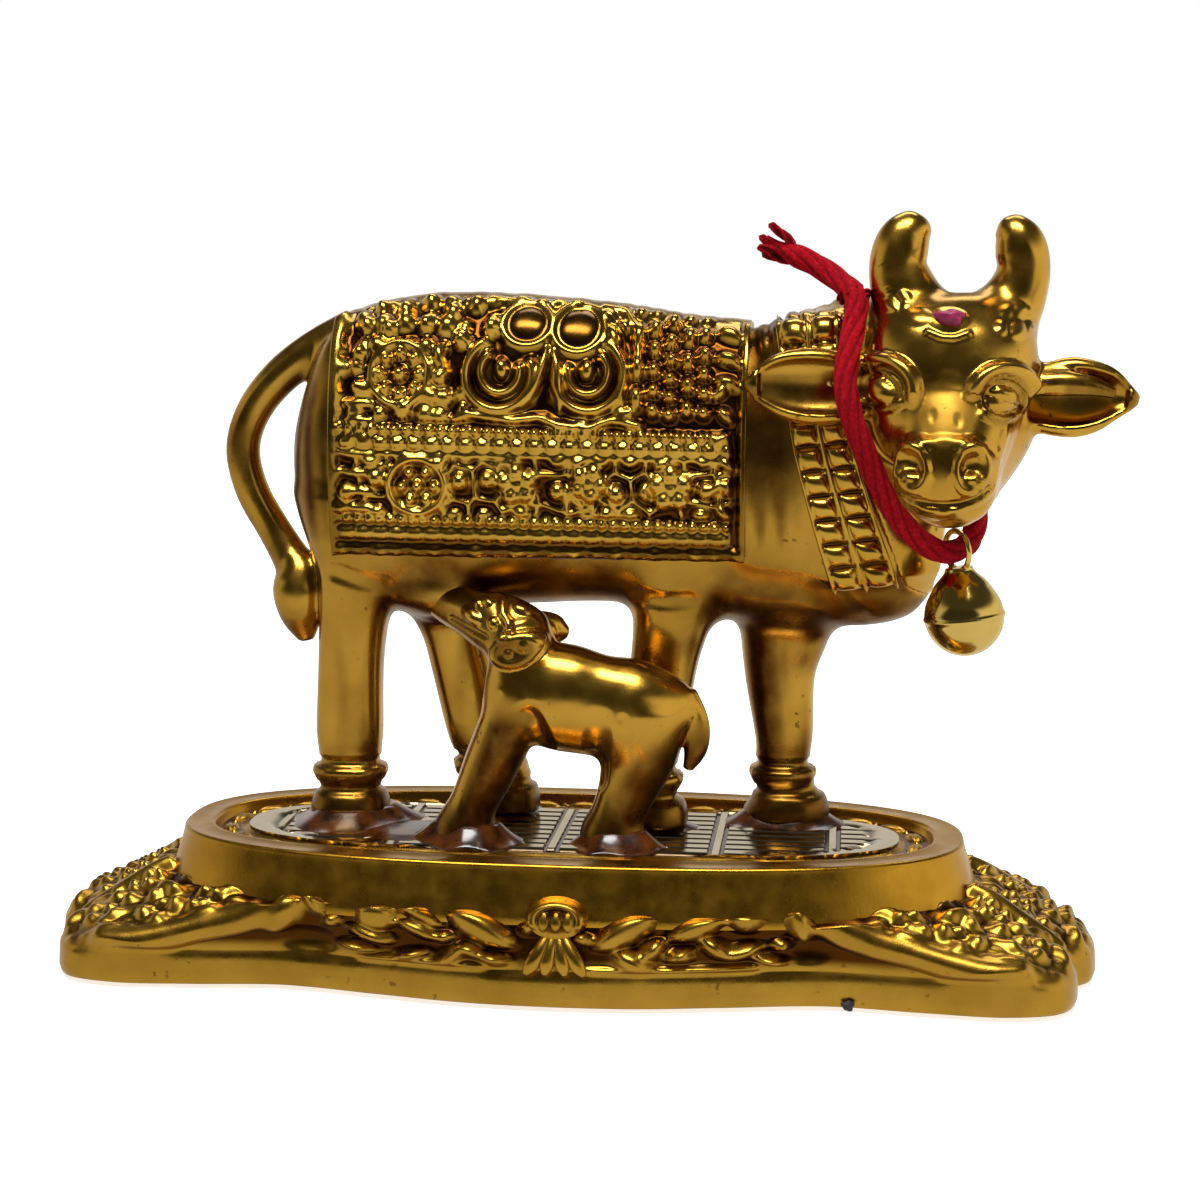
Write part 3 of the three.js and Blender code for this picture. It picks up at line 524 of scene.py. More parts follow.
def newField(low, high, voxel, reach):
    # an empty grid of distances, each at the far value that is known to that reach
    band = int(math.ceil((reach + 0.7) / voxel))
    first = np.floor(np.array(low) / voxel).astype(int)
    shape = np.ceil(np.array(high) / voxel).astype(int) - first + 1
    return dict(values=np.full(shape, band * voxel, np.float32), first=first, voxel=voxel, band=band)


def part(field, body):
    # the signed distance to a closed body, on the part of the field's grid that it reaches
    points, quads, fans = body
    h, band = field["voxel"], field["band"]
    low = np.maximum(np.floor(points.min(0) / h).astype(int) - band - 1, field["first"])
    high = np.minimum(np.ceil(points.max(0) / h).astype(int) + band + 2,
                      field["first"] + field["values"].shape)
    if np.any(high <= low):
        return None, None
    grid = openvdb.FloatGrid.createLevelSetFromPolygons(
        points.astype(np.float32), triangles=fans.astype(np.int32), quads=quads.astype(np.int32),
        transform=openvdb.createLinearTransform(voxelSize=h), halfWidth=band)
    values = np.empty(high - low, np.float32)
    grid.copyToArray(values, ijk=tuple(int(v) for v in low))
    window = tuple(slice(a, b) for a, b in zip(low - field["first"], high - field["first"]))
    return values, window


def blendIn(field, body, soft):
    # smooth union of the field and a body, where the body reaches
    values, window = part(field, body)
    if values is not None:
        field["values"][window] = softMin(field["values"][window], values, soft)


def hollowOut(field, body, soft):
    # smooth cut: -union(-a, b)
    values, window = part(field, body)
    field["values"][window] = -softMin(-field["values"][window], values, soft)


def axesOf(field):
    # x, y and z of the grid's planes
    return [(field["first"][k] + np.arange(field["values"].shape[k])) * field["voxel"] for k in range(3)]


def sampled(field, points):
    # trilinear reading of the field
    q = points / field["voxel"] - field["first"]
    q = np.clip(q, 0, np.array(field["values"].shape) - 1.001)
    i = q.astype(int)
    f = q - i
    v = field["values"]
    total = 0
    for corner in range(8):
        o = np.array([corner & 1, corner >> 1 & 1, corner >> 2])
        w = np.prod(np.where(o, f, 1 - f), axis=1)
        total = total + w * v[i[:, 0] + o[0], i[:, 1] + o[1], i[:, 2] + o[2]]
    return total


def slopeOf(field, points):
    # central differences over 1.2 voxels
    h = field["voxel"] * 0.6
    return np.stack([(sampled(field, points + d) - sampled(field, points - d)) / (2 * h)
                     for d in np.eye(3) * h], 1)


def skinOf(field, passes=3, last=2):
    # the zero surface of the field, evened out: each point moves to its neighbours' mean and back
    # on the surface
    h = field["voxel"]
    grid = openvdb.FloatGrid(field["band"] * h)
    grid.transform = openvdb.createLinearTransform(voxelSize=h)
    grid.copyFromArray(field["values"])
    points, quads = grid.convertToQuads(isovalue=0)
    points = points.astype(float) + field["first"] * h
    quads = quads.astype(int)
    edges = np.vstack([quads[:, [0, 1]], quads[:, [1, 2]], quads[:, [2, 3]], quads[:, [3, 0]]])
    number = len(points)
    degree = np.bincount(edges.ravel(), minlength=number)

    def mean():
        return np.stack([(np.bincount(edges[:, 0], points[edges[:, 1], k], number)
                          + np.bincount(edges[:, 1], points[edges[:, 0], k], number)) / degree
                          for k in range(3)], 1)
    for step in range(passes + last):
        points = points + 0.6 * (mean() - points)
        if step < passes:
            g = slopeOf(field, points)
            points = points - g * (sampled(field, points) / np.maximum((g * g).sum(1), 0.2))[:, None]
    return points, quads, np.zeros((0, 3), int)


def normalsOf(points, quads):
    # area-weighted: sum of (c - a) x (d - b) over the quads round each point
    cross = np.cross(points[quads[:, 2]] - points[quads[:, 0]], points[quads[:, 3]] - points[quads[:, 1]])
    total = np.stack([sum(np.bincount(quads[:, c], cross[:, k], len(points)) for c in range(4))
                      for k in range(3)], 1)
    return unit(total)


trunkTable = np.array([
    (-28.7, 39.4, 34.0, 1.8), (-28.1, 41.6, 31.4, 3.9), (-26.9, 45.4, 28.4, 5.8), (-24.9, 49.6, 25.0, 7.3),
    (-21.0, 51.6, 23.0, 8.2),
    (-14.0, 52.9, 22.0, 8.6), (-5.0, 52.8, 22.2, 8.7), (4.0, 52.0, 22.6, 8.6), (12.0, 50.8, 21.4, 8.6),
    (19.0, 50.0, 20.8, 8.5), (25.0, 47.5, 20.6, 8.0), (30.0, 42.5, 20.7, 6.8), (33.8, 38.0, 21.8, 5.0),
    (36.0, 34.5, 24.4, 2.9)])
trunkPower = 2.3
alongX, alongY, alongZ = np.eye(3)


def trunkBody():
    # upright sections: y = w k cos a, z = (t + b) / 2 + k sin a (t - b) / 2,
    # k = (|cos|^q + |sin|^q)^(-1 / q)
    x, top, bottom, half = (c[:, None] for c in eased(smoothPath(trunkTable, 170), 12).T)
    c, s = np.cos(circle(110)), np.sin(circle(110))
    k = squareness(c, s, trunkPower)
    rings = np.stack(np.broadcast_arrays(x, half * k * c, (top + bottom) / 2 + k * s * (top - bottom) / 2),
                     -1)
    return tubeBody(rings + figureShift)


def neckBody():
    # level slices: left and right end, height, middle across, half thickness
    slices = [(20, 36.2, 27, 0, 6.2), (19, 37.0, 33, -0.4, 6.6), (18.6, 36.6, 39, -1.6, 6.3),
              (18.6, 36.0, 45, -2.8, 5.6), (18.8, 36.0, 49, -3.4, 4.9), (19.4, 35.0, 51.5, -3.6, 3.8),
              (20.8, 33.0, 52.8, -3.8, 2.2)]
    return limb([((a + b) / 2, y, z, (b - a) / 2, half, 2.5) for a, b, z, y, half in slices], alongX, 72)


def legBodies():
    # hind and front legs, near and far: y, then x, z, w and h down the leg, x of ankle and hoof,
    # and their widths
    legs = [
        (-2.3, [(-21, 33, 6.6, 5.4), (-21.4, 27, 4.9, 4.9), (-22.4, 21.5, 3.6, 3.9), (-22.9, 16, 3.3, 3.1),
                (-23.1, 9, 3.4, 2.9)], -23.1, -23.1, 3.7, 4.05),
        (2.3, [(-17, 33, 6.6, 5.4), (-15.5, 26, 4.6, 4.6), (-13.3, 20, 3.4, 3.4), (-12.2, 15.5, 3.2, 3.0),
               (-10.4, 8.5, 3.3, 2.9)], -9.2, -8.3, 3.75, 4.2),
        (-2.3, [(11.5, 33, 5.4, 5.4), (10.8, 26, 4.6, 5.0), (10, 21, 3.9, 4.0), (9.3, 17, 3.4, 3.1),
                (8.3, 10, 3.2, 2.9)], 7.5, 7.7, 3.65, 4.1),
        (2.3, [(23, 32, 6.4, 5.4), (22, 25, 5.6, 5.0), (21.2, 19.5, 4.6, 4.2), (20.8, 15, 3.6, 3.2),
               (21.3, 9, 3.0, 2.9)], 21.2, 21.6, 3.3, 4.4)]
    made = []
    for y, upper, ankleX, hoofX, ankle, hoof in legs:
        rows = [(x, y, z, a, b, 2.6) for x, z, a, b in upper]
        for x, z, a, b in ((ankleX, 6.3, ankle - 0.5, 2.7), (ankleX, 5.0, ankle + 0.1, 3.3),
                           (ankleX, 3.6, ankle - 0.4, 2.9), (hoofX, 1.4, hoof, 3.8),
                           (hoofX, -0.9, hoof, 3.8)):
            rows.append((x, y, z, a, b, 2.3))
        made.append(limb(rows, alongX, 56))
    return made


def tailBodies():
    # the rope of the tail and its tuft
    ropeRows = [(-22.5, 0, 50.0, 1.8, 2.0), (-26.6, 0, 47.8, 1.8, 2.0), (-30.3, 0, 45.1, 1.8, 1.9),
                (-33.2, 0, 41.6, 1.7, 1.8), (-34.5, 0, 37.6, 1.7, 1.75), (-33.6, 0, 33.3, 1.7, 1.75),
                (-31.3, 0, 29.2, 1.7, 1.75), (-29.4, -0.4, 26.2, 1.9, 2.0), (-28.4, -1.0, 24.4, 2.2, 2.4)]
    tuftRows = [(-28.8, -0.8, 26.8, 1.2, 1.4), (-28.3, -1.2, 25.0, 2.3, 2.3), (-28.4, -1.4, 23.2, 2.8, 2.8),
                (-28.2, -1.6, 20.6, 2.2, 2.3), (-27.6, -1.8, 18.0, 0.8, 0.8)]
    return limb(ropeRows, alongY, 40), limb(tuftRows, alongX, 40)


def ball(centre, radii):
    # an ellipsoid: p(u, a) = c + (rx cos a sin u, ry sin a sin u, rz cos u)
    u = np.linspace(0.02, math.pi - 0.02, 36)[:, None]
    a = circle(48)
    rings = np.stack(np.broadcast_arrays(np.cos(a) * np.sin(u), np.sin(a) * np.sin(u), np.cos(u)), -1)
    return tubeBody(rings * np.array(radii) + np.array(centre) + figureShift)


# where the head piece ends and the body piece begins, hidden by the collar: height and x
seamHeights = np.array([20.0, 25.2, 33.0, 40.0, 45.0, 51.2, 56.0]) + figureShift[2]
seamPlaces = np.array([44.0, 33.2, 30.3, 28.0, 27.2, 26.8, 26.8])
seamLap = 0.25


def cutAtSeam(field, keepHead):
    # max(f, +-(x - seam(z)) - lap): level distance to the seam, near enough for a cut
    x, _, z = axesOf(field)
    offset = x[:, None] - np.interp(z, seamHeights, seamPlaces)[None, :]
    side = -offset if keepHead else offset
    np.maximum(field["values"], (side - seamLap)[:, None, :].astype(np.float32), out=field["values"])


def cutAtSoles(field):
    # max(f, sole - z)
    z = axesOf(field)[2]
    np.maximum(field["values"], (figureShift[2] - z)[None, None, :].astype(np.float32), out=field["values"])


blend = dict(reach=2.6, trunk=0.5, neck=2.4, leg=2.2, rope=1.2, tuft=0.6, udder=1.6)


def baseField(low, high, voxel, legs):
    # the trunk, the neck and the numbered legs, run into each other
    field = newField(low, high, voxel, blend["reach"])
    blendIn(field, trunkBody(), blend["trunk"])
    blendIn(field, neckBody(), blend["neck"])
    bodies = legBodies()
    for number in legs:
        blendIn(field, bodies[number], blend["leg"])
    return field


def strokes(x, z, places, width):
    # parabola across a chain of straight stretches: 1 - (d / w)^2 where d < w
    best = np.full(x.shape, 1e9)
    places = np.asarray(places, float)
    for (x0, z0), (x1, z1) in zip(places[:-1], places[1:]):
        dx, dz = x1 - x0, z1 - z0
        t = np.clip(((x - x0) * dx + (z - z0) * dz) / max(dx * dx + dz * dz, 1e-9), 0, 1)
        best = np.minimum(best, (x - x0 - t * dx) ** 2 + (z - z0 - t * dz) ** 2)
    return np.clip(1 - best / width ** 2, 0, 1)


def dots(x, z, places, radius):
    # domes: 1 - (d / r)^2 where d < r
    best = np.full(x.shape, 1e9)
    for cx, cz in places:
        best = np.minimum(best, (x - cx) ** 2 + (z - cz) ** 2)
    return np.clip(1 - best / radius ** 2, 0, 1)


def oval(x, z, centre, radii, turn=0.0):
    # squared distance in radii of a turned ellipse
    c, s = math.cos(turn), math.sin(turn)
    dx, dz = x - centre[0], z - centre[1]
    return ((dx * c + dz * s) / radii[0]) ** 2 + ((dz * c - dx * s) / radii[1]) ** 2


def mound(x, z, centre, radii, turn=0.0):
    # 1 - rho^2 inside the ellipse rho = 1
    return np.clip(1 - oval(x, z, centre, radii, turn), 0, 1)


def ringOf(x, z, centre, radii, width, turn=0.0):
    # a rolled edge round an ellipse: 1 - ((rho - 1) r / w)^2
    rho = np.sqrt(oval(x, z, centre, radii, turn))
    return hump((rho - 1) * min(radii) / width)


def rosette(x, z, centre, radius, petals, turn=0.0):
    # petals (1 - ((rho - 0.66) / 0.34)^2)^0.6 (0.2 + 0.8 |cos(n a / 2)|) round a dome of 0.27 R
    dx, dz = x - centre[0], z - centre[1]
    rho = np.hypot(dx, dz) / radius
    a = np.arctan2(dz, dx) + turn
    petal = hump((rho - 0.66) / 0.34) ** 0.6 * (0.2 + 0.8 * np.abs(np.cos(petals * a / 2)))
    return np.maximum(petal, hump(rho / 0.27) ** 0.6 * 0.9)


def placesRound(centre, radii, angles):
    # places on an ellipse: c + (rx cos a, ry sin a)
    return np.stack([centre[0] + radii[0] * np.cos(angles), centre[1] + radii[1] * np.sin(angles)], 1)


def flower(x, z, centre, radius, petals, turn=0.0):
    # domes of radius 0.5 R set at 0.6 R round a middle dome of 0.34 R: the highest of (1 - (d / r)^2)^0.8
    places = placesRound(centre, (0.6 * radius, 0.6 * radius), circle(petals) + turn)
    return np.maximum(dots(x, z, places, 0.5 * radius) ** 0.8,
                      0.9 * dots(x, z, [centre], 0.34 * radius) ** 0.8)


def pod(x, z, start, end, width, bow=0.0):
    # a leaf: (1 - (d / (w f))^2)^0.75 f, d from the chord bowed by 4 b t (1 - t), f = sin(pi t)^0.45
    dx, dz = end[0] - start[0], end[1] - start[1]
    length = math.hypot(dx, dz)
    along = ((x - start[0]) * dx + (z - start[1]) * dz) / length ** 2
    off = ((z - start[1]) * dx - (x - start[0]) * dz) / length
    t = np.clip(along, 0, 1)
    f = np.sin(np.pi * np.clip(t, 0.004, 0.996)) ** 0.45
    d = (off - bow * 4 * t * (1 - t)) / (width * f)
    return hump(d) ** 0.75 * f * ((along > 0) & (along < 1))


def scattered(x, z, pitch, seed, count):
    # the nine squares (i, j) of a net round each place, with the fractions of
    # 43758.5 |sin(12.99 i + 78.23 j + s + 1.7 k)|
    i0, j0 = np.floor(x / pitch), np.floor(z / pitch)
    for di in (-1, 0, 1):
        for dj in (-1, 0, 1):
            i, j = i0 + di, j0 + dj
            wave = (np.sin(i * 12.99 + j * 78.23 + seed + k * 1.7) for k in range(count))
            yield i, j, *(np.modf(np.abs(w) * 43758.5)[0] for w in wave)


def lumps(x, z, pitch, radius, seed):
    # domes on a square net, moved by up to a quarter of its pitch and of radius 0.75 to 1.25 r
    best = np.zeros_like(x)
    for i, j, r1, r2, r3 in scattered(x, z, pitch, seed, 3):
        cx = (i + 0.5 + 0.5 * (r1 - 0.5)) * pitch
        cz = (j + 0.5 + 0.5 * (r2 - 0.5)) * pitch
        dome = np.clip(1 - ((x - cx) ** 2 + (z - cz) ** 2) / (radius * (0.75 + 0.5 * r3)) ** 2, 0, 1)
        best = np.maximum(best, dome * (0.65 + 0.35 * r3))
    return best


def cells(x, z, pitch, seed):
    # nearest and next jittered points: domes 1 - (d1 / 0.38 p)^2 and walls 1 - ((d2 - d1) / 0.15 p)^2
    # between them
    first, second = np.full(x.shape, 1e9), np.full(x.shape, 1e9)
    for i, j, r1, r2 in scattered(x, z, pitch, seed, 2):
        d = np.hypot(x - (i + 0.5 + 0.6 * (r1 - 0.5)) * pitch, z - (j + 0.5 + 0.6 * (r2 - 0.5)) * pitch)
        second = np.minimum(second, np.maximum(first, d))
        first = np.minimum(first, d)
    return hump(first / (0.38 * pitch)), hump((second - first) / (0.15 * pitch))


def blurred(h, passes):
    # weights 1/4, 1/2, 1/4 along both directions of the grid
    for _ in range(passes):
        h = (np.vstack([h[:1], h[:-1]]) + 2 * h + np.vstack([h[1:], h[-1:]])) / 4
        h = (np.hstack([h[:, :1], h[:, :-1]]) + 2 * h + np.hstack([h[:, 1:], h[:, -1:]])) / 4
    return h


# body

bodyVoxel = 0.36


def makeBody():
    # trunk, neck, legs, tail and udder in smooth union, cut at the seam, then the creases of the casting
    field = baseField((-37.5, -7.0, 12.2), (42.5, 15.5, 69.5), bodyVoxel, range(4))
    ropeBody, tuftBody = tailBodies()
    blendIn(field, ropeBody, blend["rope"])
    blendIn(field, tuftBody, blend["tuft"])
    blendIn(field, ball((-13.5, -1.5, 23.8), (5, 5, 3.2)), blend["udder"])
    cutAtSoles(field)
    cutAtSeam(field, False)
    points, quads, fans = skinOf(field)
    # creases of the thigh and the shoulder on the calf's side, and ribs along the top of the neck
    normals = normalsOf(points, quads)
    near = smoothStep(0.1, 0.6, -normals[:, 1])
    px, pz = points[:, 0], points[:, 2]
    crease = strokes(px, pz, [(15.0, 40.2), (18.0, 38.7), (22.9, 38.3), (26.0, 37.2), (28.6, 34.6)], 1.6)
    crease += 0.8 * strokes(px, pz, [(-23.4, 39.0), (-21.0, 38.2), (-18.4, 37.7)], 1.2)
    crease += 0.8 * strokes(px, pz, [(6.8, 37.0), (9.6, 36.6), (12.0, 36.8)], 1.1)
    points = points - normals * (0.35 * crease * near)[:, None]
    top = smoothStep(17.6, 18.6, px) * smoothStep(60.0, 62.0, pz) * smoothStep(0.9, 0.5, normals[:, 1])
    folds = np.abs(np.cos((px - 18.6 + (pz - 64) * 0.12) * math.pi / 1.5)) ** 0.7
    broken = 0.6 + 0.4 * np.cos((pz - 66.6) * 2.6) * smoothStep(20.5, 22.5, px)
    points = points + normals * ((0.7 * folds * broken - 0.15) * top)[:, None]
    # a ring round each ankle between two grooves
    upright = smoothStep(0.5, 0.8, np.hypot(normals[:, 0], normals[:, 1]))
    ankle = 0.18 * hump((pz - 17.7) / 1.1)
    for groove in (16.3, 19.0):
        ankle -= 0.35 * hump((pz - groove) / 0.6)
    points = points + normals * (ankle * upright)[:, None]
    # brown, the strongest of: glue on the feet, grime patches on the legs, streaks behind and before the
    # cloth, painted dark reflection down the middle of the near foreleg, painted shade under the shoulder
    # crease, on the undersides and along the belly's edge, and darker bands down the tail
    patch = 0.5 + 0.3 * np.sin(px * 1.1 + 0.6) * np.sin(pz * 0.35 + px * 0.3)
    patch = patch + 0.2 * np.sin(px * 2.3 + points[:, 1])
    brownStreaks = 0.5 + 0.5 * np.sin(px * 3.1 + 0.8 * np.sin(pz * 0.4))
    rump = smoothStep(-28.8, -27.6, px) * smoothStep(-23.0, -24.4, px)
    rump = rump * smoothStep(40, 44, pz) * smoothStep(62, 56, pz)
    belly = [(-17.5, 36.6), (-13.5, 39.2), (-6.0, 38.4), (0.5, 38.0), (4.5, 36.8)]
    stainAndShade = np.maximum.reduce([
        0.9 * smoothStep(19.5, 14.8, pz + 0.5 * np.sin(px * 1.3)),
        0.7 * patch ** 2 * smoothStep(38, 30, pz) + 0.25 * smoothStep(24, 19, pz),
        rump * (0.55 + 0.45 * brownStreaks),
        0.85 * smoothStep(17.2, 18.0, px) * smoothStep(23.5, 20.5, px) * smoothStep(43, 50, pz + 4 * brownStreaks),
        # painted dark reflection down the near foreleg, then painted shade under the shoulder, on the
        # undersides and along the belly's edge
        np.sqrt(strokes(px, pz, [(18.4, 37.0), (18.8, 31.0), (19.2, 24.0), (19.6, 14.0)], 2.3)) * near,
        strokes(px, pz, [(15.5, 37.0), (18.5, 35.4), (23.0, 34.6), (27.5, 34.4)], 3.4) * near,
        0.9 * smoothStep(0.0, -0.6, normals[:, 2]) * (pz > 25),
        0.95 * strokes(px, pz, belly, 2.8) * near,
        0.6 * smoothStep(-29.0, -31.0, px) * (0.5 + 0.5 * np.sin(pz * 0.55 - 1.6))])
    return addPiece("cow_body", (points, quads, fans), figureGold, "gilding", ["cow_and_calf"],
                    {"stainAndShade": stainAndShade})


makeBody()

# head

headVoxel = 0.22
skullRows = [
    (37.2, -8.0, 53.5, 4.0, 1.8), (37.2, -8.2, 52.3, 6.5, 4.0), (37.0, -8.6, 49.5, 7.7, 6.1, 2.3),
    (36.8, -9.4, 45.5, 8.1, 6.6, 2.3), (36.4, -10.5, 42.3, 7.2, 6.1, 2.3),
    (36.7, -12.3, 39.8, 5.6, 5.6, 2.4), (36.5, -13.7, 37.6, 4.9, 5.2, 2.5),
    (36.2, -14.3, 35.4, 4.7, 4.25, 2.5), (36.0, -14.0, 34.0, 3.7, 3.3, 2.3), (35.8, -13.6, 33.0, 2.2, 2.0)]
hornRows = [
    [(33.6, -7.6, 50.5, 4.2, 3.8), (32.2, -7.6, 54.0, 3.2, 3.2), (31.6, -7.6, 56.5, 2.7, 2.7),
     (32.1, -7.6, 58.4, 2.6, 2.5), (33.0, -7.6, 59.6, 2.15, 2.1), (33.9, -7.6, 60.3, 1.3, 1.3),
     (34.25, -7.6, 60.6, 0.35, 0.35)],
    [(40.6, -7.4, 50.0, 3.9, 3.7), (42.6, -7.4, 53.2, 3.0, 3.0), (43.4, -7.4, 55.9, 2.5, 2.6),
     (43.0, -7.4, 58.1, 2.45, 2.4), (42.2, -7.4, 59.4, 2.0, 2.0), (41.4, -7.4, 60.1, 1.2, 1.2),
     (41.05, -7.4, 60.35, 0.35, 0.35)]]
earRows = [
    [(30.4, -9.0, 45.0, 1.4, 2.4), (27.2, -9.6, 44.8, 1.7, 3.3), (24.0, -10.2, 44.9, 1.7, 3.7),
     (21.0, -10.6, 45.1, 1.5, 3.2), (18.8, -10.8, 45.1, 1.1, 1.9), (17.4, -10.8, 45.2, 0.4, 0.5)],
    [(42.2, -9.0, 44.5, 1.4, 2.4), (45.6, -9.5, 44.0, 1.7, 3.4), (48.4, -9.6, 44.1, 1.6, 3.8),
     (51.2, -9.5, 44.2, 1.4, 3.0), (53.2, -9.3, 44.0, 1.1, 1.5), (54.3, -9.2, 43.9, 0.4, 0.5)]]
# the fold that lies in the hollow of the ear on the right
earFold = [(43.8, -10.0, 45.0, 1.0, 0.9), (46.6, -10.6, 45.4, 1.1, 1.2), (49.6, -10.5, 45.2, 0.9, 1.0),
           (52.0, -10.1, 44.5, 0.5, 0.5)]
jowlRows = [(42.9, -7.4, 44.6, 2.6, 3.4), (42.0, -8.4, 41.4, 3.0, 4.0), (40.2, -10.2, 38.4, 3.0, 4.0),
            (38.8, -11.8, 35.6, 2.4, 3.2)]
face = dict(lidRise=0.4, browRise=1.0, ballRise=1.3, nostrilRise=0.5, lipDepth=0.55,
            eyes=((30.1, 57.9), (41.2, 57.2)))


def faceRelief(x, z):
    # rise of the face over the plain skull at level places x and z, seen from the front
    def form(*place):
        return mound(x, z, *place)

    def line(places, width):
        return strokes(x, z, places, width)
    # the muzzle stands out as a rounded block
    h = 0.45 * np.clip(3 * form((36.1, 50.5), (5.2, 3.7)), 0, 1)
    for (cx, cz), ball, turn, browFrom, browTo in zip(
            face["eyes"], ((1.7, 1.25), (1.65, 1.3)), (-0.6, -0.25), (-0.3, 0.2), (2.6, 3.2)):
        angle = np.arctan2(z - cz + 0.1, x - cx - 0.1)
        arc = smoothStep(browFrom - 0.3, browFrom + 0.3, angle)
        arc = arc * smoothStep(browTo + 0.3, browTo - 0.3, angle)
        h += face["browRise"] * ringOf(x, z, (cx + 0.15, cz), (3.0, 2.85), 0.8) * arc
        h -= 0.35 * form((cx, cz), (2.4, 2.3))
        h += face["lidRise"] * ringOf(x, z, (cx, cz), (ball[0] + 0.35, ball[1] + 0.35), 0.36, turn)
        h += face["ballRise"] * np.sqrt(form((cx, cz), ball, turn))
        h += 0.2 * line([(cx - 1.8, cz - 1.3), (cx, cz - 2.0), (cx + 1.9, cz - 1.2)], 0.5)
    # the bridge of the nose and the pads over the nostrils
    h += 0.3 * pod(x, z, (36.3, 60.0), (36.1, 53.2), 2.5) ** 2
    h -= 0.14 * (form((34.9, 55.7), (0.35, 0.7)) + form((37.2, 55.3), (0.35, 0.7)))
    h += 0.4 * form((33.6, 53.2), (1.7, 1.0)) + 0.4 * form((38.2, 53.2), (1.8, 1.0))
    for cx, cz, hand in ((33.3, 51.0, 1), (38.3, 51.0, -1)):
        h += face["nostrilRise"] * ringOf(x, z, (cx, cz), (1.25, 1.85), 0.45, 0.18 * hand)
        h -= 0.7 * form((cx + 0.15 * hand, cz + 0.35), (0.95, 1.2), 0.3 * hand)
        h += 0.5 * form((cx - 0.15 * hand, cz - 0.8), (0.75, 0.7))
    h -= face["lipDepth"] * line([(31.7, 49.0), (33.2, 48.2), (34.8, 47.9), (36.2, 47.85), (37.6, 48.0),
                                  (39.0, 48.5), (40.0, 49.3)], 0.42)
    h -= 0.35 * form((36.0, 47.4), (0.8, 0.28))
    h += 0.3 * form((35.8, 47.0), (2.6, 0.8))
    # rough hair at the feet of the horns, the boss and the fold under the painted mark
    hair = form((31.4, 66.2), (1.7, 1.3)) + form((42.6, 64.2), (2.4, 1.9))
    h += 0.28 * lumps(x, z, 1.5, 0.8, 4.0) * np.clip(2 * hair, 0, 1)
    h += 0.35 * form((36.3, 64.4), (2.0, 1.2)) + 0.25 * form((33.4, 64.7), (1.5, 0.9))
    h += 0.25 * line([(34.4, 63.3), (35.6, 62.8), (36.8, 62.75), (38.0, 63.2)], 0.4)
    # temple and cheek
    return h + 0.35 * pod(x, z, (44.6, 59.6), (40.6, 49.4), 1.0, -0.5) ** 2


def makeHead():
    # the upper neck cut at the seam, then skull, jowl, horns and ears in smooth union, then the face's relief
    field = baseField((15.5, -16.5, 32.0), (56.0, 12.0, 76.0), headVoxel, (3,))
    cutAtSeam(field, True)
    blendIn(field, limb(skullRows, alongX, 80), 1.5)
    blendIn(field, limb(jowlRows, alongX, 48), 1.2)
    for rows in hornRows:
        blendIn(field, limb(rows, alongX, 56), 1.3)
    for rows in earRows:
        blendIn(field, limb(rows, alongY, 56), 0.9)
    for rows in earRows:
        # the hollow of an ear: its own stations, narrower and moved to the front
        cave = [(x, y - 0.95, z + 0.05, deep * 0.95, tall * 0.7) for x, y, z, deep, tall in rows[:5]]
        hollowOut(field, limb(cave, alongY, 48), 0.6)
    blendIn(field, limb(earFold, alongY, 40), 0.5)
    points, quads, fans = skinOf(field)
    normals = normalsOf(points, quads)
    front = smoothStep(0.15, 0.55, -normals[:, 1]) * smoothStep(-4.5, -6.5, points[:, 1])
    rise = faceRelief(points[:, 0], points[:, 2]) * front
    points = points + normals * rise[:, None]
    px, pz = points[:, 0], points[:, 2]
    # painted shade in the creases, round the eyes and in the hollows of the ears, and painted dark reflection
    # between the horns
    ears = smoothStep(10.6, 11.4, np.abs(px - 36.2)) * smoothStep(1.9, 1.2, np.abs(pz - 57.6))
    zones = [np.clip(-1.7 * rise, 0, 0.8), 0.7 * ears * front, 0.5 * mound(px, pz, (36.6, 67.0), (5.2, 1.6))]
    for eye in face["eyes"]:
        socket = 1 - np.abs(np.sqrt(oval(px, pz, eye, (2.4, 2.3))) - 0.85) / 0.35
        zones.append(0.6 * np.clip(socket, 0, 1) * front)
    stainAndShade = np.maximum.reduce(zones)
    # the bridge of the nose is rubbed
    worn = np.clip(1.6 - 1.6 * oval(px, pz, (36.0, 56.0), (3.4, 3.2)), 0, 1) * front
    return addPiece("cow_head", (points, quads, fans), figureGold, "gilding", (),
                    {"stainAndShade": stainAndShade, "worn": worn})


makeHead()

# calf

calfVoxel = 0.19
calfPlane = -9.0


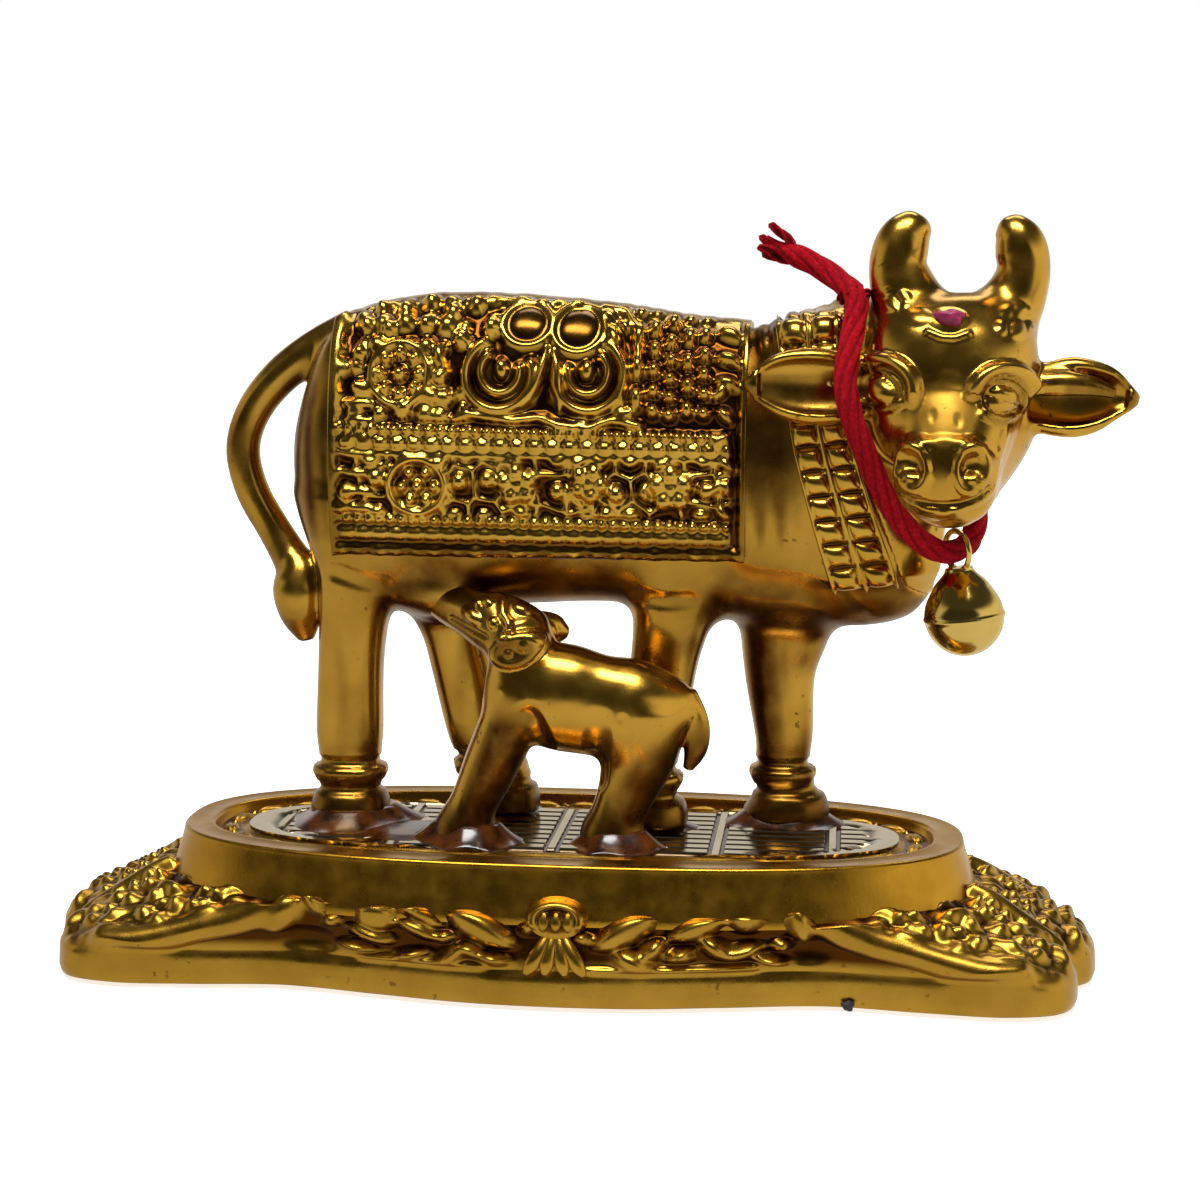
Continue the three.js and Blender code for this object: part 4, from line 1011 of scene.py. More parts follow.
def makeCalf():
    # trunk, legs, neck, head, ears and tail in smooth union, the muzzle reaching the udder
    y = calfPlane
    trunk = [(-7.6, y, 15.4, 1.6, 1.8), (-6.2, y, 15.2, 3.0, 3.9), (-3.0, y, 14.7, 4.0, 5.0),
             (0.2, y, 14.1, 4.35, 5.4), (3.4, y, 13.4, 3.7, 5.0), (6.4, y, 13.0, 4.35, 5.25),
             (8.9, y, 12.9, 3.8, 4.7), (11.2, y, 12.9, 2.5, 3.4), (12.7, y, 12.6, 1.2, 1.6)]
    hindLeg = [(7.6, y, 13.0, 4.0, 3.4), (7.4, y, 9.0, 3.9, 3.3), (6.4, y, 5.4, 3.0, 2.6),
               (5.4, y, 2.6, 2.7, 2.5), (5.0, y, 1.0, 3.3, 2.9), (5.0, y, -0.6, 3.6, 3.2)]
    foreLeg = [(-4.6, y, 15.0, 2.6, 3.2), (-6.0, y, 10.4, 2.9, 3.2), (-7.6, y, 6.6, 2.7, 2.8),
               (-9.1, y, 3.2, 2.4, 2.6), (-9.9, y, 1.0, 3.0, 3.0), (-10.0, y, -0.6, 3.5, 3.2)]
    neck = [(-3.2, y, 14.0, 3.4, 3.6), (-4.4, y + 0.2, 18.0, 3.1, 3.3), (-5.2, y + 0.6, 21.0, 2.8, 3.0)]
    head = [(-1.7, y + 0.4, 19.0, 1.4, 1.2), (-3.4, y + 0.4, 19.8, 3.0, 2.9),
            (-6.6, y + 1.2, 21.0, 3.3, 3.2), (-9.6, y + 2.6, 21.9, 2.5, 2.5),
            (-12.2, y + 4.4, 22.6, 2.0, 2.1), (-14.6, y + 6.2, 23.6, 1.6, 1.8)]
    nearEar = [(-6.6, y - 2.8, 18.7, 1.0, 1.0), (-5.4, y - 3.5, 19.0, 1.5, 1.3),
               (-4.0, y - 3.8, 19.5, 1.6, 1.3), (-2.4, y - 3.6, 20.3, 1.1, 0.9),
               (-1.4, y - 3.3, 20.8, 0.3, 0.3)]
    farEar = [(-4.9, y + 3.0, 20.4, 1.3, 0.9), (-2.8, y + 4.2, 20.5, 1.6, 0.9),
              (-1.2, y + 4.8, 20.0, 1.4, 0.8), (-0.2, y + 5.0, 19.8, 0.5, 0.4)]
    tail = [(12.0, y, 15.0, 0.9, 1.0), (13.0, y, 12.0, 1.0, 1.3), (13.0, y, 9.4, 0.9, 1.2),
            (12.2, y, 7.2, 0.4, 0.5)]
    field = newField((-18.5, -12.5, 12.4), (16.0, 2.5, 41.5), calfVoxel, 1.4)
    for rows, sideways, soft, ease in (
            (trunk, alongY, 0.5, 40), (hindLeg, alongX, 1.2, 8), (foreLeg, alongX, 1.2, 8),
            (neck, alongX, 1.3, 8), (head, alongY, 1.0, 8), (nearEar, alongZ, 0.5, 8),
            (farEar, alongZ, 0.5, 8), (tail, alongY, 0.5, 8)):
        blendIn(field, limb(rows, sideways, 56, ease=ease), soft)
    cutAtSoles(field)
    points, quads, fans = skinOf(field)
    normals = normalsOf(points, quads)
    px, pz = points[:, 0], points[:, 2]

    def line(places, width):
        return strokes(px, pz, places, width)
    # eye, brow, nostril and mouth
    h = 0.45 * np.sqrt(mound(px, pz, (-6.7, 34.8), (0.6, 0.6)))
    h += 0.5 * line([(-6.0, 36.8), (-5.8, 35.6), (-5.2, 34.9), (-5.0, 34.2), (-5.4, 33.4)], 0.5)
    h += 0.5 * pod(px, pz, (-5.0, 36.4), (-2.8, 35.8), 0.55)
    h += 0.35 * pod(px, pz, (-8.3, 36.9), (-6.9, 36.5), 0.4)
    h += 0.5 * mound(px, pz, (-9.1, 35.3), (1.3, 0.8), -0.5) + 0.3 * dots(px, pz, [(-8.5, 36.5)], 0.45)
    h -= 0.35 * line([(-7.6, 33.4), (-9.4, 34.1), (-11.4, 34.7)], 0.4)
    # the hanging ear: a rim round a hollow
    h += 0.3 * ringOf(px, pz, (-4.1, 32.5), (2.2, 1.35), 0.5, 0.3)
    h -= 0.45 * mound(px, pz, (-4.4, 32.4), (1.7, 0.9), 0.3)
    h += 0.35 * dots(px, pz, [(-3.4, 32.9), (-4.9, 32.2)], 0.6)
    # creases of the elbow, the flank and the thigh
    h += 0.3 * pod(px, pz, (-4.4, 29.0), (-6.4, 18.0), 2.2, 0.5) ** 2
    h -= 0.5 * line([(-3.0, 26.6), (-2.4, 25.2), (-1.7, 23.0)], 1.3) ** 1.5 * smoothStep(28.0, 25.5, pz)
    h -= 0.45 * line([(3.9, 26.0), (3.6, 23.5), (3.2, 19.5)], 1.6) ** 1.5 * smoothStep(28.0, 24.0, pz)
    h -= 0.12 * line([(6.2, 26.0), (7.0, 24.0), (7.6, 21.6)], 0.6)
    points = points + normals * (h * smoothStep(0.15, 0.6, -normals[:, 1]))[:, None]
    # brown on the feet, down the foreleg but for its leading edge and on the back of the hind leg; painted
    # shade in the ear, along the jaw and on the undersides
    lead = px + 4.6 - 0.379 * (pz - 28.1)
    thigh = smoothStep(4.6, 7.4, px + 0.5 * (20 - pz)) * (px > 2)
    thigh = thigh * smoothStep(24.0, 20.0, pz - 0.4 * (px - 7))
    stainAndShade = np.maximum.reduce([
        0.9 * smoothStep(18.5, 14.0, pz),
        smoothStep(-2.0, -0.4, lead) * smoothStep(3.6, 2.4, lead) * smoothStep(28.0, 24.5, pz),
        0.9 * thigh,
        0.75 * smoothStep(1.2, 0.7, oval(px, pz, (-4.3, 32.4), (2.0, 1.2), 0.3)),
        0.6 * line([(-5.8, 33.0), (-8.4, 33.4), (-12.0, 35.0)], 1.2),
        0.6 * smoothStep(-0.1, -0.7, normals[:, 2])])
    return addPiece("calf", (points, quads, fans), figureGold, "gilding", (), {"stainAndShade": stainAndShade})


makeCalf()

# saddle cloth

cloth = dict(thickness=0.6, bury=0.25, rear=-23.2, front=17.5, hem=41.1, rise=0.78, farRise=0.85,
             columns=270, nearRows=170, farRows=100, skip=5)
# the two domes of the middle panel: place and radii
lobes = [(-4.0, 63.4, 2.15, 1.7), (1.0, 63.0, 2.25, 1.95)]


def clothRelief(x, z, fine):
    # rise of the cast ornament at level places; the far side keeps the large forms
    left, right = cloth["rear"], cloth["front"]
    h = np.zeros_like(x)

    def lay(form, rise):
        np.maximum(h, form * rise, out=h)

    def clear(centre, radii, share):
        h[oval(x, z, centre, radii) < 1] *= share

    def row(zLeft, zRight, width):
        return np.sqrt(hump((z - zLeft - (zRight - zLeft) * (x - left) / (right - left)) / width))

    def beads(pitch, shift=0.0):
        return np.sqrt(hump(((x + shift) / pitch % 1 - 0.5) / 0.47))

    def line(places, width):
        return strokes(x, z, places, width)
    inside = smoothStep(right - 1.0, right - 1.7, x)
    # drops of two sizes fill the upper panels
    lay(lumps(x, z, 2.15, 1.1, 0.3) * smoothStep(53.8, 54.4, z) * inside * (x < 6), 1.5 if fine else 0.9)
    # plain strip down the rear edge, then short ribs
    lay(smoothStep(left + 1.25, left + 0.95, x + (65 - z) * 0.03), 1.3)
    for zc in (55.9, 54.3, 52.7, 51.0, 49.2, 47.4, 45.8):
        lay(pod(x, z, (-22.3, zc), (-18.4, zc - 0.1), 0.62), 1.2)
    # rear panel: a ringed rosette and large drops
    rosetteAt = (-16.3, 58.7)
    clear(rosetteAt, (2.9, 2.9), 0.3)
    lay(ringOf(x, z, rosetteAt, (2.9, 2.9), 0.5) ** 0.6, 1.25)
    lay(dots(x, z, [rosetteAt], 1.0), 1.6)
    lay(dots(x, z, placesRound(rosetteAt, (1.95, 1.95), 0.79 * np.arange(8)), 0.8), 1.5)
    lay(dots(x, z, [(-19.9, 63.2), (-18.7, 65.0), (-20.4, 60.6), (-20.4, 57.4), (-11.4, 64.4), (-9.2, 65.2),
                    (-12.9, 56.6), (-15.7, 55.5), (-12.3, 58.4), (-10.4, 62.0), (-16.2, 64.6), (-14.0, 63.4),
                    (-17.6, 62.9), (-13.8, 65.6)], 1.0) ** 0.8, 1.6)
    lay(pod(x, z, (-12.7, 61.8), (-12.0, 58.8), 0.85), 1.6)
    # middle panel: two domed lobes, under each a bowl of nested arcs, long petals between, a wavy border
    clear((-1.6, 59.6), (8.4, 5.6), 0.25)
    for cx, cz, wide, tall in lobes:
        lay(np.sqrt(mound(x, z, (cx, cz), (wide, tall))), 0.95)
        lay(ringOf(x, z, (cx, cz), (wide + 0.3, tall + 0.3), 0.42) ** 0.6, 0.95)
    lay(dots(x, z, [(-7.5, 63.1)], 0.95) ** 0.5, 1.7)
    lay(pod(x, z, (3.9, 63.4), (5.0, 60.8), 0.85), 1.6)
    lay(line([(3.2, 65.0), (5.4, 64.4), (6.6, 62.8), (7.0, 60.2)], 0.5) ** 0.6, 1.2)
    lay(line([(-8.6, 65.4), (-6.6, 65.8), (-5.0, 65.4)], 0.45) ** 0.6, 1.0)
    for cx, cz, lean in ((-6.5, 58.7, 0.12), (2.3, 58.6, -0.12)):
        bowl = smoothStep(0.5, 0.9, np.abs(np.arctan2(x - cx, z - cz) - lean * 3))  # open at the top
        lay(ringOf(x, z, (cx, cz), (3.3, 3.3), 0.62, lean) ** 0.6 * bowl, 1.5)
        lay(ringOf(x, z, (cx + lean, cz + 0.3), (1.9, 2.0), 0.52, lean) ** 0.6 * bowl, 1.45)
        lay(np.sqrt(mound(x, z, (cx + lean * 2, cz + 0.6), (0.8, 1.1), lean)), 1.35)
    lay(pod(x, z, (-1.9, 61.8), (-4.4, 55.2), 0.62, 0.5), 1.65)
    lay(pod(x, z, (-1.5, 61.6), (-0.5, 55.0), 0.62, 0.3), 1.65)
    lay(dots(x, z, [(-2.0, 54.6), (-9.9, 55.6), (6.2, 55.2)], 0.6) ** 0.5, 1.2)
    lay(line([(-10.8, 54.5), (-9.4, 55.0), (-7.6, 54.7), (-5.0, 54.4), (-2.5, 54.7), (-0.6, 54.0),
              (2.3, 53.7), (4.5, 54.5), (7.2, 54.0)], 0.5) ** 0.7, 1.3)
    # front panel: columns of drops, then leaves
    for cx, low, tall, step in ((6.9, 56.6, 1.35, 2.9), (8.5, 55.4, 0.85, 1.9), (10.1, 55.0, 0.75, 1.7),
                                (11.8, 55.6, 1.0, 2.2), (13.4, 55.2, 0.75, 1.8)):
        for k in range(int(10.6 / step) + 1):
            lay(mound(x, z, (cx + 0.2 * math.sin(3.1 * k), low + step * k), (0.84, tall)) ** 0.7, 1.6)
    for cz in (64.8, 62.6, 60.4, 58.2):
        lay(pod(x, z, (14.2, cz), (17.0, cz - 0.8), 0.75, 0.25), 1.5)
    for cx, cz, lean in ((14.9, 57.2, 0.8), (15.4, 55.0, -0.8), (14.8, 52.6, 0.9), (15.6, 50.4, -0.7),
                         (14.6, 48.2, 0.8), (15.3, 45.8, -0.8)):
        lay(pod(x, z, (cx - 0.7, cz - lean), (cx + 0.9, cz + lean), 0.7), 1.5)
    # borders and bead rows across the cloth
    lay(row(53.5, 52.8, 0.6) * (beads(1.15) if fine else 0.7) * inside, 1.35)
    lay(row(52.2, 51.6, 0.75) * (0.3 + 0.7 * beads(1.7, 0.3)) * inside, 1.3)
    lay(row(51.1, 50.7, 0.3) * inside, 1.0)
    # lower band: cells with flowers, a ringed rosette at the rear, clustered flowers towards the front
    if fine:
        lower = smoothStep(44.9, 45.4, z) * smoothStep(51.0, 50.4, z) * inside
        dome, wall = cells(x, z, 2.9, 5.1)
        lay(wall ** 0.7 * lower, 0.95)
        lay(dome ** 0.8 * lower, 1.55)
    clear((-14.5, 48.0), (3.0, 2.8), 0.2)
    lay(ringOf(x, z, (-14.5, 48.0), (2.8, 2.6), 0.5) ** 0.6, 1.35)
    lay(dots(x, z, placesRound((-14.4, 47.9), (1.6, 1.5), 1.05 * np.arange(6)), 0.75), 1.5)
    lay(dots(x, z, [(-14.4, 47.9)], 0.85), 1.6)
    for cx, cz, radius in ((-4.6, 48.2, 2.1), (2.4, 48.4, 2.0), (10.4, 48.0, 2.3)):
        clear((cx, cz), (radius, radius), 0.3)
        lay(flower(x, z, (cx, cz), radius, 5, cx), 1.6)
    # oblong beads and the rolled hem
    lay(row(44.7, 44.3, 0.5) * (beads(1.1, 0.2) if fine else 0.7) * inside, 1.25)
    boxes = 0.55 + 0.45 * np.sqrt(np.clip(1 - ((x / 1.75 % 1 - 0.5) / 0.46) ** 4, 0, 1))
    lay(row(43.25, 43.05, 0.78) * boxes * inside, 1.0)
    roll = cloth["hem"] + 0.55
    lay(row(roll, roll, 0.72), 1.05 + 0.3 * np.sin(x * 0.9) * np.sin(x * 2.3))
    lay(smoothStep(right - 0.9, right - 0.4, x), 1.0)
    return h


def makeCloth():
    # sections of the trunk, spread by the thickness: |y / w|^p + |(z - c) / h|^p = 1,
    # walked by length of arc
    trunk = smoothPath(trunkTable, 600)
    x = np.linspace(cloth["rear"], cloth["front"], cloth["columns"])
    top, bottom, half = (np.interp(x, trunk[:, 0], trunk[:, k]) for k in (1, 2, 3))
    middle = (top + bottom) / 2 + figureShift[2]
    height, width = (top - bottom) / 2 + cloth["thickness"], half + cloth["thickness"]
    arcSteps, crown = 1601, 800  # the crown is the middle step, on the ridge
    # from the near flank over the ridge to the far one
    a = np.linspace(-0.5, 0.5, arcSteps)[None, :] * math.pi * 1.72
    k = squareness(np.sin(a), np.cos(a), trunkPower)
    y = width[:, None] * k * np.sin(a)
    z = middle[:, None] + height[:, None] * k * np.cos(a)
    share = np.concatenate([np.linspace(0, 0.5, cloth["nearRows"]),
                            np.linspace(0.5, 1, cloth["farRows"])[1:]])
    sections = np.empty((len(x), len(share), 3))
    for i in range(len(x)):
        length = lengthAlong(np.stack([y[i], z[i]], 1))
        ridge = length[crown]
        near = np.interp(cloth["hem"], z[i][:crown + 1], length[:crown + 1])
        far = ridge + np.interp(-cloth["hem"], -z[i][crown:], length[crown:] - ridge)
        at = np.where(share < 0.5, near + (ridge - near) * share * 2,
                      ridge + (far - ridge) * (share - 0.5) * 2)
        sections[i] = np.stack([np.full(len(share), x[i]), np.interp(at, length, y[i]),
                                np.interp(at, length, z[i])], 1)
    out = unit(np.cross(np.gradient(sections, axis=1), np.gradient(sections, axis=0)))
    out *= np.sign(out[len(x) // 2, len(share) // 3, 1] * -1)
    px, pz = sections[..., 0], sections[..., 2]
    relief = np.where(share < 0.5, clothRelief(px, pz, True), clothRelief(px, pz, False) * cloth["farRise"])
    # softened as castings are, and low along the ridge
    offRidge = np.abs(share - 0.5)
    relief = blurred(relief, 2) * (1 - 0.9 * smoothStep(0.075, 0.035, offRidge))
    outer = sections + out * (relief * cloth["rise"])[..., None]
    outer[..., 1] += figureShift[1]
    body = sheetBody(outer, np.zeros(3), cloth["skip"])
    # the back follows the trunk's own skin, a little inside it
    back = (sections - out * (cloth["thickness"] + cloth["bury"]))[:, ::cloth["skip"]].reshape(-1, 3)
    body[0][px.size:] = back + [0, figureShift[1], 0]
    # painted shade in the hollows and at the rear and front edges, painted dark reflection over the two domed
    # lobes, and brown along the near hem, broken where the hem stands high
    hemBreaks = (0.5 + 0.5 * np.sin(px * 0.8 + 1.0) * np.sin(px * 1.9)) * smoothStep(0.9, 1.2, relief)
    zones = [smoothStep(0.75, 0.1, relief) * (0.25 + 0.75 * smoothStep(0.05, 0.1, offRidge)),
             0.85 * smoothStep(43.2, 42.6, pz) * (1 - hemBreaks) * (share < 0.5),
             0.6 * smoothStep(-21.9, -22.4, px) * smoothStep(58, 52, pz),
             0.55 * smoothStep(15.0, 16.4, px) * smoothStep(61, 57, pz)]
    for cx, cz, _, _ in lobes:
        zones.append(0.9 * (oval(px, pz, (cx, cz), (2.0, 1.7)) < 1))
    paintedShade = np.concatenate([np.maximum.reduce(zones).ravel(), np.ones(len(back))])
    return addPiece("saddle_cloth", body, clothGold, "gilding", (), {"paintedShade": paintedShade})


makeCloth()

# collar

collar = dict(halfWidth=1.2, rise=0.85, farRise=0.7225, lift=0.12, depth=1.6, beads=11, alongSteps=230,
              acrossSteps=40, skip=3)
# down the neck: rear and front end of the band's middle line, height
collarRows = np.array([
    (21.4, 25.0, 51.2), (22.4, 25.4, 45.0), (23.0, 26.2, 40.0), (24.8, 28.4, 33.0), (27.2, 31.2, 25.2)])


def skinAlong(field, x, z, side):
    # where a level line from one side first meets the field's surface
    y = axesOf(field)[1]
    flat = np.stack([x.ravel(), np.zeros(x.size), z.ravel()], 1)
    order = y if side < 0 else y[::-1]
    values = np.stack([sampled(field, flat + [0, v, 0]) for v in order], 1)
    hit = np.clip(np.argmax(values < 0, axis=1), 1, None)
    r = np.arange(len(flat))
    before, after = values[r, hit - 1], values[r, hit]
    return (order[hit - 1] + (order[hit] - order[hit - 1]) * before / (before - after)).reshape(x.shape)


def makeCollar():
    # a band of box beads on each side of the neck, laid on the field's surface and raised along its normals
    field = baseField((15.0, -9.0, 34.0), (42.0, 13.0, 69.0), 0.4, (3, 2))
    line = smoothPath(collarRows, collar["alongSteps"])
    reach = collar["halfWidth"]
    t = np.linspace(-1, 1, collar["acrossSteps"])[None, :]
    rear, front = line[:, 0] - reach, line[:, 1] + reach
    x = (rear[:, None] * (1 - t) + front[:, None] * (1 + t)) / 2
    z = np.repeat(line[:, 2:3], x.shape[1], 1) + figureShift[2] + (x - x.mean(1, keepdims=True)) * 0.12
    length = lengthAlong(line[:, [0, 2]])
    s = (length / length[-1] * collar["beads"])[:, None]
    # two rows of pillowed boxes between three thin ridges
    lane = np.abs(t) * 2 - 1
    pillow = np.clip(1 - np.abs(lane / 0.92) ** 2.4, 0, 1)
    pillow = pillow * np.clip(1 - np.abs((s % 1 - 0.5) / 0.48) ** 2.4, 0, 1)
    ridge = np.maximum(hump(t / 0.1), hump((np.abs(t) - 0.93) / 0.09))
    relief = np.maximum(pillow ** 0.75 * 1.05, ridge * 0.7)
    bodies, recesses = [], []
    for side, rise in ((-1, collar["rise"]), (1, collar["farRise"])):
        skin = np.stack([x, skinAlong(field, x, z, side), z], -1)
        out = unit(np.cross(np.gradient(skin, axis=0), np.gradient(skin, axis=1)))
        out *= np.sign(out[..., 1:2] * side)
        outer = skin + out * (collar["lift"] + relief * rise)[..., None]
        bodies.append(sheetBody(outer, np.array([0, -side * collar["depth"], 0]), collar["skip"]))
        buried = len(bodies[-1][0]) - relief.size
        # painted shade between the boxes and ridges
        recesses.append(np.concatenate([smoothStep(0.4, 0.0, relief).ravel(), np.ones(buried)]))
    return addPiece("collar", together(bodies), clothGold, "gilding", (),
                    {"paintedShade": np.concatenate(recesses)})


makeCollar()

# plinth

plinth = dict(drumHalf=(39.5, 16.2), roundness=2.57, height=13.2, flare=1.4, foot=8.3, rim=3.0, groove=3.2,
              grooveDepth=1.0, edge=0.35, band=3.4, tuck=0.5, leafPitch=4.2, around=1000)
# the skirt in plan: the middle of the long side, and one quarter from the end to beside it
skirtMiddle = (0, 18.8)
skirtQuarter = [(52.7, 0), (51.9, 4.6), (49.4, 7.6), (50.0, 11.0), (48.2, 14.8), (43.6, 16.4), (36.0, 16.1),
                (26.5, 15.3), (16.5, 17.0), (8.25, 18.4)]


def drumRing(inset, angles):
    # superellipse: (a - i) k cos, (b - i) k sin, k = (|cos|^q + |sin|^q)^(-1 / q)
    c, s = np.cos(angles), np.sin(angles)
    k = squareness(c, s, plinth["roundness"])
    return np.stack([(plinth["drumHalf"][0] - inset) * k * c, (plinth["drumHalf"][1] - inset) * k * s], 1)


def levelRing(outline, z):
    # an outline in plan at one height
    return np.column_stack([outline, np.full(len(outline), z)])


def skirtRing(count):
    # the quarter's corners four times round, every other one backwards, then one closed curve through them
    corners = []
    for signX, signY in ((1, 1), (-1, 1), (-1, -1), (1, -1)):
        quarter = skirtQuarter if signX == signY else [skirtMiddle, *skirtQuarter[1:][::-1]]
        corners += [(signX * px, signY * py, 0) for px, py in quarter]
    return chordPath(corners, count, True)[:, :2]


# leaves of the long side from left to right: start, end, half width and bow, in level place and height
swagLeaves = [
    ((-27.6, 6.2), (-24.0, 9.9), 1.2, 0.2), ((-26.8, 10.2), (-23.4, 10.7), 0.6, 0.1),
    ((-24.0, 10.7), (-21.8, 8.6), 0.6, 0.1), ((-22.2, 10.3), (-18.6, 11.6), 0.9, 0.2),
    ((-15.2, 11.0), (-10.2, 8.0), 0.7, 0.15), ((-14.6, 8.6), (-10.2, 6.6), 0.65, 0.2),
    ((-19.4, 7.6), (-14.9, 5.8), 0.75, 0.15), ((-20.4, 5.6), (-16.8, 4.6), 0.5, 0.1),
    ((-9.5, 9.8), (-3.2, 6.3), 1.3, 0.1), ((-10.5, 3.4), (-8.0, 6.4), 0.7, -0.2),
    ((-8.4, 6.4), (-6.2, 4.9), 0.65, 0.1), ((-6.6, 5.1), (-3.6, 4.4), 0.65, 0.1),
    ((-14.6, 4.2), (-11.4, 5.2), 0.55, 0.0), ((4.5, 6.3), (10.2, 9.9), 1.25, 0.1),
    ((11.5, 7.6), (16.8, 9.9), 1.0, 0.1), ((17.6, 8.6), (19.8, 11.8), 1.5, 0.0),
    ((19.8, 11.2), (22.9, 10.7), 0.9, 0.1), ((22.6, 10.8), (24.4, 7.2), 0.9, 0.2),
    ((6.5, 6.2), (9.8, 3.4), 1.15, 0.0), ((9.0, 5.1), (10.9, 7.7), 0.8, 0.0),
    ((14.4, 7.8), (17.0, 5.3), 0.85, 0.1), ((16.4, 5.2), (20.2, 7.1), 0.8, 0.1),
    ((11.2, 5.0), (13.6, 6.6), 0.6, 0.0), ((19.4, 5.4), (22.4, 4.6), 0.55, 0.1)]
# the corner lobes in plan: flowers with place, radius and petals, leaves with start, end and half width
lobeFlowers = [(44.4, 11.4, 2.6, 5), (38.6, 13.2, 2.2, 5), (47.8, 0.0, 2.4, 6), (46.4, 6.2, 2.0, 5),
               (34.0, 14.2, 1.6, 5), (41.8, 8.0, 1.8, 5), (44.6, 2.9, 1.5, 5)]
lobeLeaves = [((47.0, 9.2), (49.0, 12.4), 0.8), ((45.6, 14.6), (41.0, 15.4), 0.7),
              ((49.4, 2.4), (50.6, 5.0), 0.7), ((40.4, 10.4), (36.6, 12.0), 0.7),
              ((36.0, 15.2), (32.0, 15.0), 0.6), ((43.0, 5.4), (41.4, 3.0), 0.7),
              ((47.4, 7.6), (44.4, 8.8), 0.6)]


def skirtRelief(x, y, z, q):
    # rise of the cast leaves, flowers and lumps on the slope; q runs from the lower band to the drum's foot
    h = np.zeros_like(x)

    def lay(form, rise):
        np.maximum(h, form * rise, out=h)
    across = np.where(y < 0, x, -x)
    ax, ay = np.abs(x), np.abs(y)
    middle = smoothStep(29.0, 28.0, ax) * (ay > 8)
    # the swag of the long side: leaves, a bud, berries and two ridges under them
    level = plinth["band"] + (z - plinth["band"]) * 1.26
    for start, end, width, bow in swagLeaves:
        lay(pod(across, level, start, end, width * 1.25, bow) * middle, 1.6)
    lay(np.sqrt(mound(across, level, (-16.6, 8.9), (2.0, 1.8))) * middle, 1.6)
    berries = [(-9.7, 7.0), (12.9, 5.6), (3.3, 7.4), (-1.7, 8.4), (22.0, 6.9), (-12.4, 9.3), (-21.0, 8.0)]
    lay(np.sqrt(dots(across, level, berries, 0.8)) * middle, 1.2)
    for ridge in ([(-18.0, 3.7), (-12.0, 3.75), (-6.0, 3.6)], [(3.8, 3.6), (12.0, 3.7), (19.6, 4.0)]):
        lay(strokes(across, z, ridge, 0.35) * middle, 0.8)
    # a plain rim frames each corner lobe, sweeping down from the drum; beads follow it inside
    rim = [(24.6, 8.9), (27.4, 7.4), (30.6, 6.4), (34.0, 5.7), (37.4, 4.8), (40.6, 4.1), (44.0, 3.9)]
    front = (ay > 9) & (q < 0.8)
    lay(strokes(ax, z, rim, 1.35) ** 0.8 * front, 1.35)
    above = z > np.interp(ax, *zip(*rim)) - 0.2
    # flowers, leaves and lumps on the shelf of the lobes, in plan
    shelf = smoothStep(28.5, 30.5, ax) * np.where(front & (ax < 44), above, 1)
    lay(lumps(ax * 0.62, ay, 1.7, 0.95, 2.2) * shelf, 0.65)
    for cx, cy, radius, petals in lobeFlowers:
        lay(rosette(ax, ay, (cx, cy), radius * 1.15, petals, cx) * shelf, 1.15)
    for start, end, width in lobeLeaves:
        lay(pod(ax, ay, start, end, width * 1.15) * shelf, 1.15)
    # a smooth strap runs over the seam between the corner lobe and the end lobe
    lay(pod(ax, ay, (51.5, 8.2), (37.0, 4.6), 1.3, 0.4) ** 0.7 * shelf, 1.2)
    lay(np.sqrt(dots(ax, z, [(px + 0.5, pz + 0.95) for px, pz in rim[1:]], 0.5)) * front * shelf, 1.0)
    # the two smooth hollows beside the corner lobes
    hollow = np.maximum(mound(across, z, (-23.6, 4.9), (3.3, 1.5)),
                        mound(across, z, (24.6, 5.9), (3.0, 1.9))) * middle
    return (h - 0.9 * hollow * (h < 0.3)) * smoothStep(0.0, 0.04, q)


def makeSkirt():
    # rings from the underside over the band and up the slope, moved out by the relief along their normals
    angles = circle(plinth["around"])
    outline = skirtRing(plinth["around"])
    inward = unit(outline * [-0.5, -1.0])
    # the underside and the lower band: inset and height
    band = [(3.0, 0.0), (plinth["tuck"] * 0.8 + 0.25, 0.0), (plinth["tuck"] * 0.4, 0.12), (0.1, 0.4),
            (0.0, 0.7), (0.02, 1.2), (0.05, 1.8), (0.09, 2.4), (0.2, 3.0)]
    rings = [levelRing(outline + inward * inset, z) for inset, z in band]
    # the slope: from the band's shoulder to a foot under the drum, z = z0 + (z1 - z0) q^0.82,
    # a full shoulder first
    foot = drumRing(-plinth["flare"] + 0.25, angles)
    edge = outline + inward * plinth["tuck"]
    top = plinth["foot"] + 0.3
    slope = np.linspace(0, 1, 58)
    rings += [levelRing(edge * (1 - q) + foot * q, plinth["band"] + (top - plinth["band"]) * q ** 0.82)
              for q in slope]
    rings = np.array(rings)
    share = np.concatenate([np.zeros(len(band)), slope])[:, None] * np.ones(len(angles))
    out = unit(np.cross(np.roll(rings, -1, 1) - np.roll(rings, 1, 1), np.gradient(rings, axis=0)))
    relief = skirtRelief(rings[..., 0], rings[..., 1], rings[..., 2], share)
    relief[share == 0] = 0
    relief = blurred(relief, 3)
    moved = rings + out * relief[..., None]
    moved[..., 2] += 0.45 * relief * smoothStep(0.4, 0.95, share)
    body = tubeBody(np.concatenate([moved, levelRing(drumRing(0.8, angles), top)[None]]))
    # painted shade on the low ground between the leaves and flowers
    deep = np.where(share > 0, smoothStep(0.55, 0.1, relief) * smoothStep(0.02, 0.2, share), 0)
    paintedShade = np.concatenate([deep.ravel(), np.ones(len(angles)), [0, 0]])
    return addPiece("plinth_skirt", body, skirtGold, "plinth_gilding", ["plinth"], {"paintedShade": paintedShade})


grooveSteps = 20


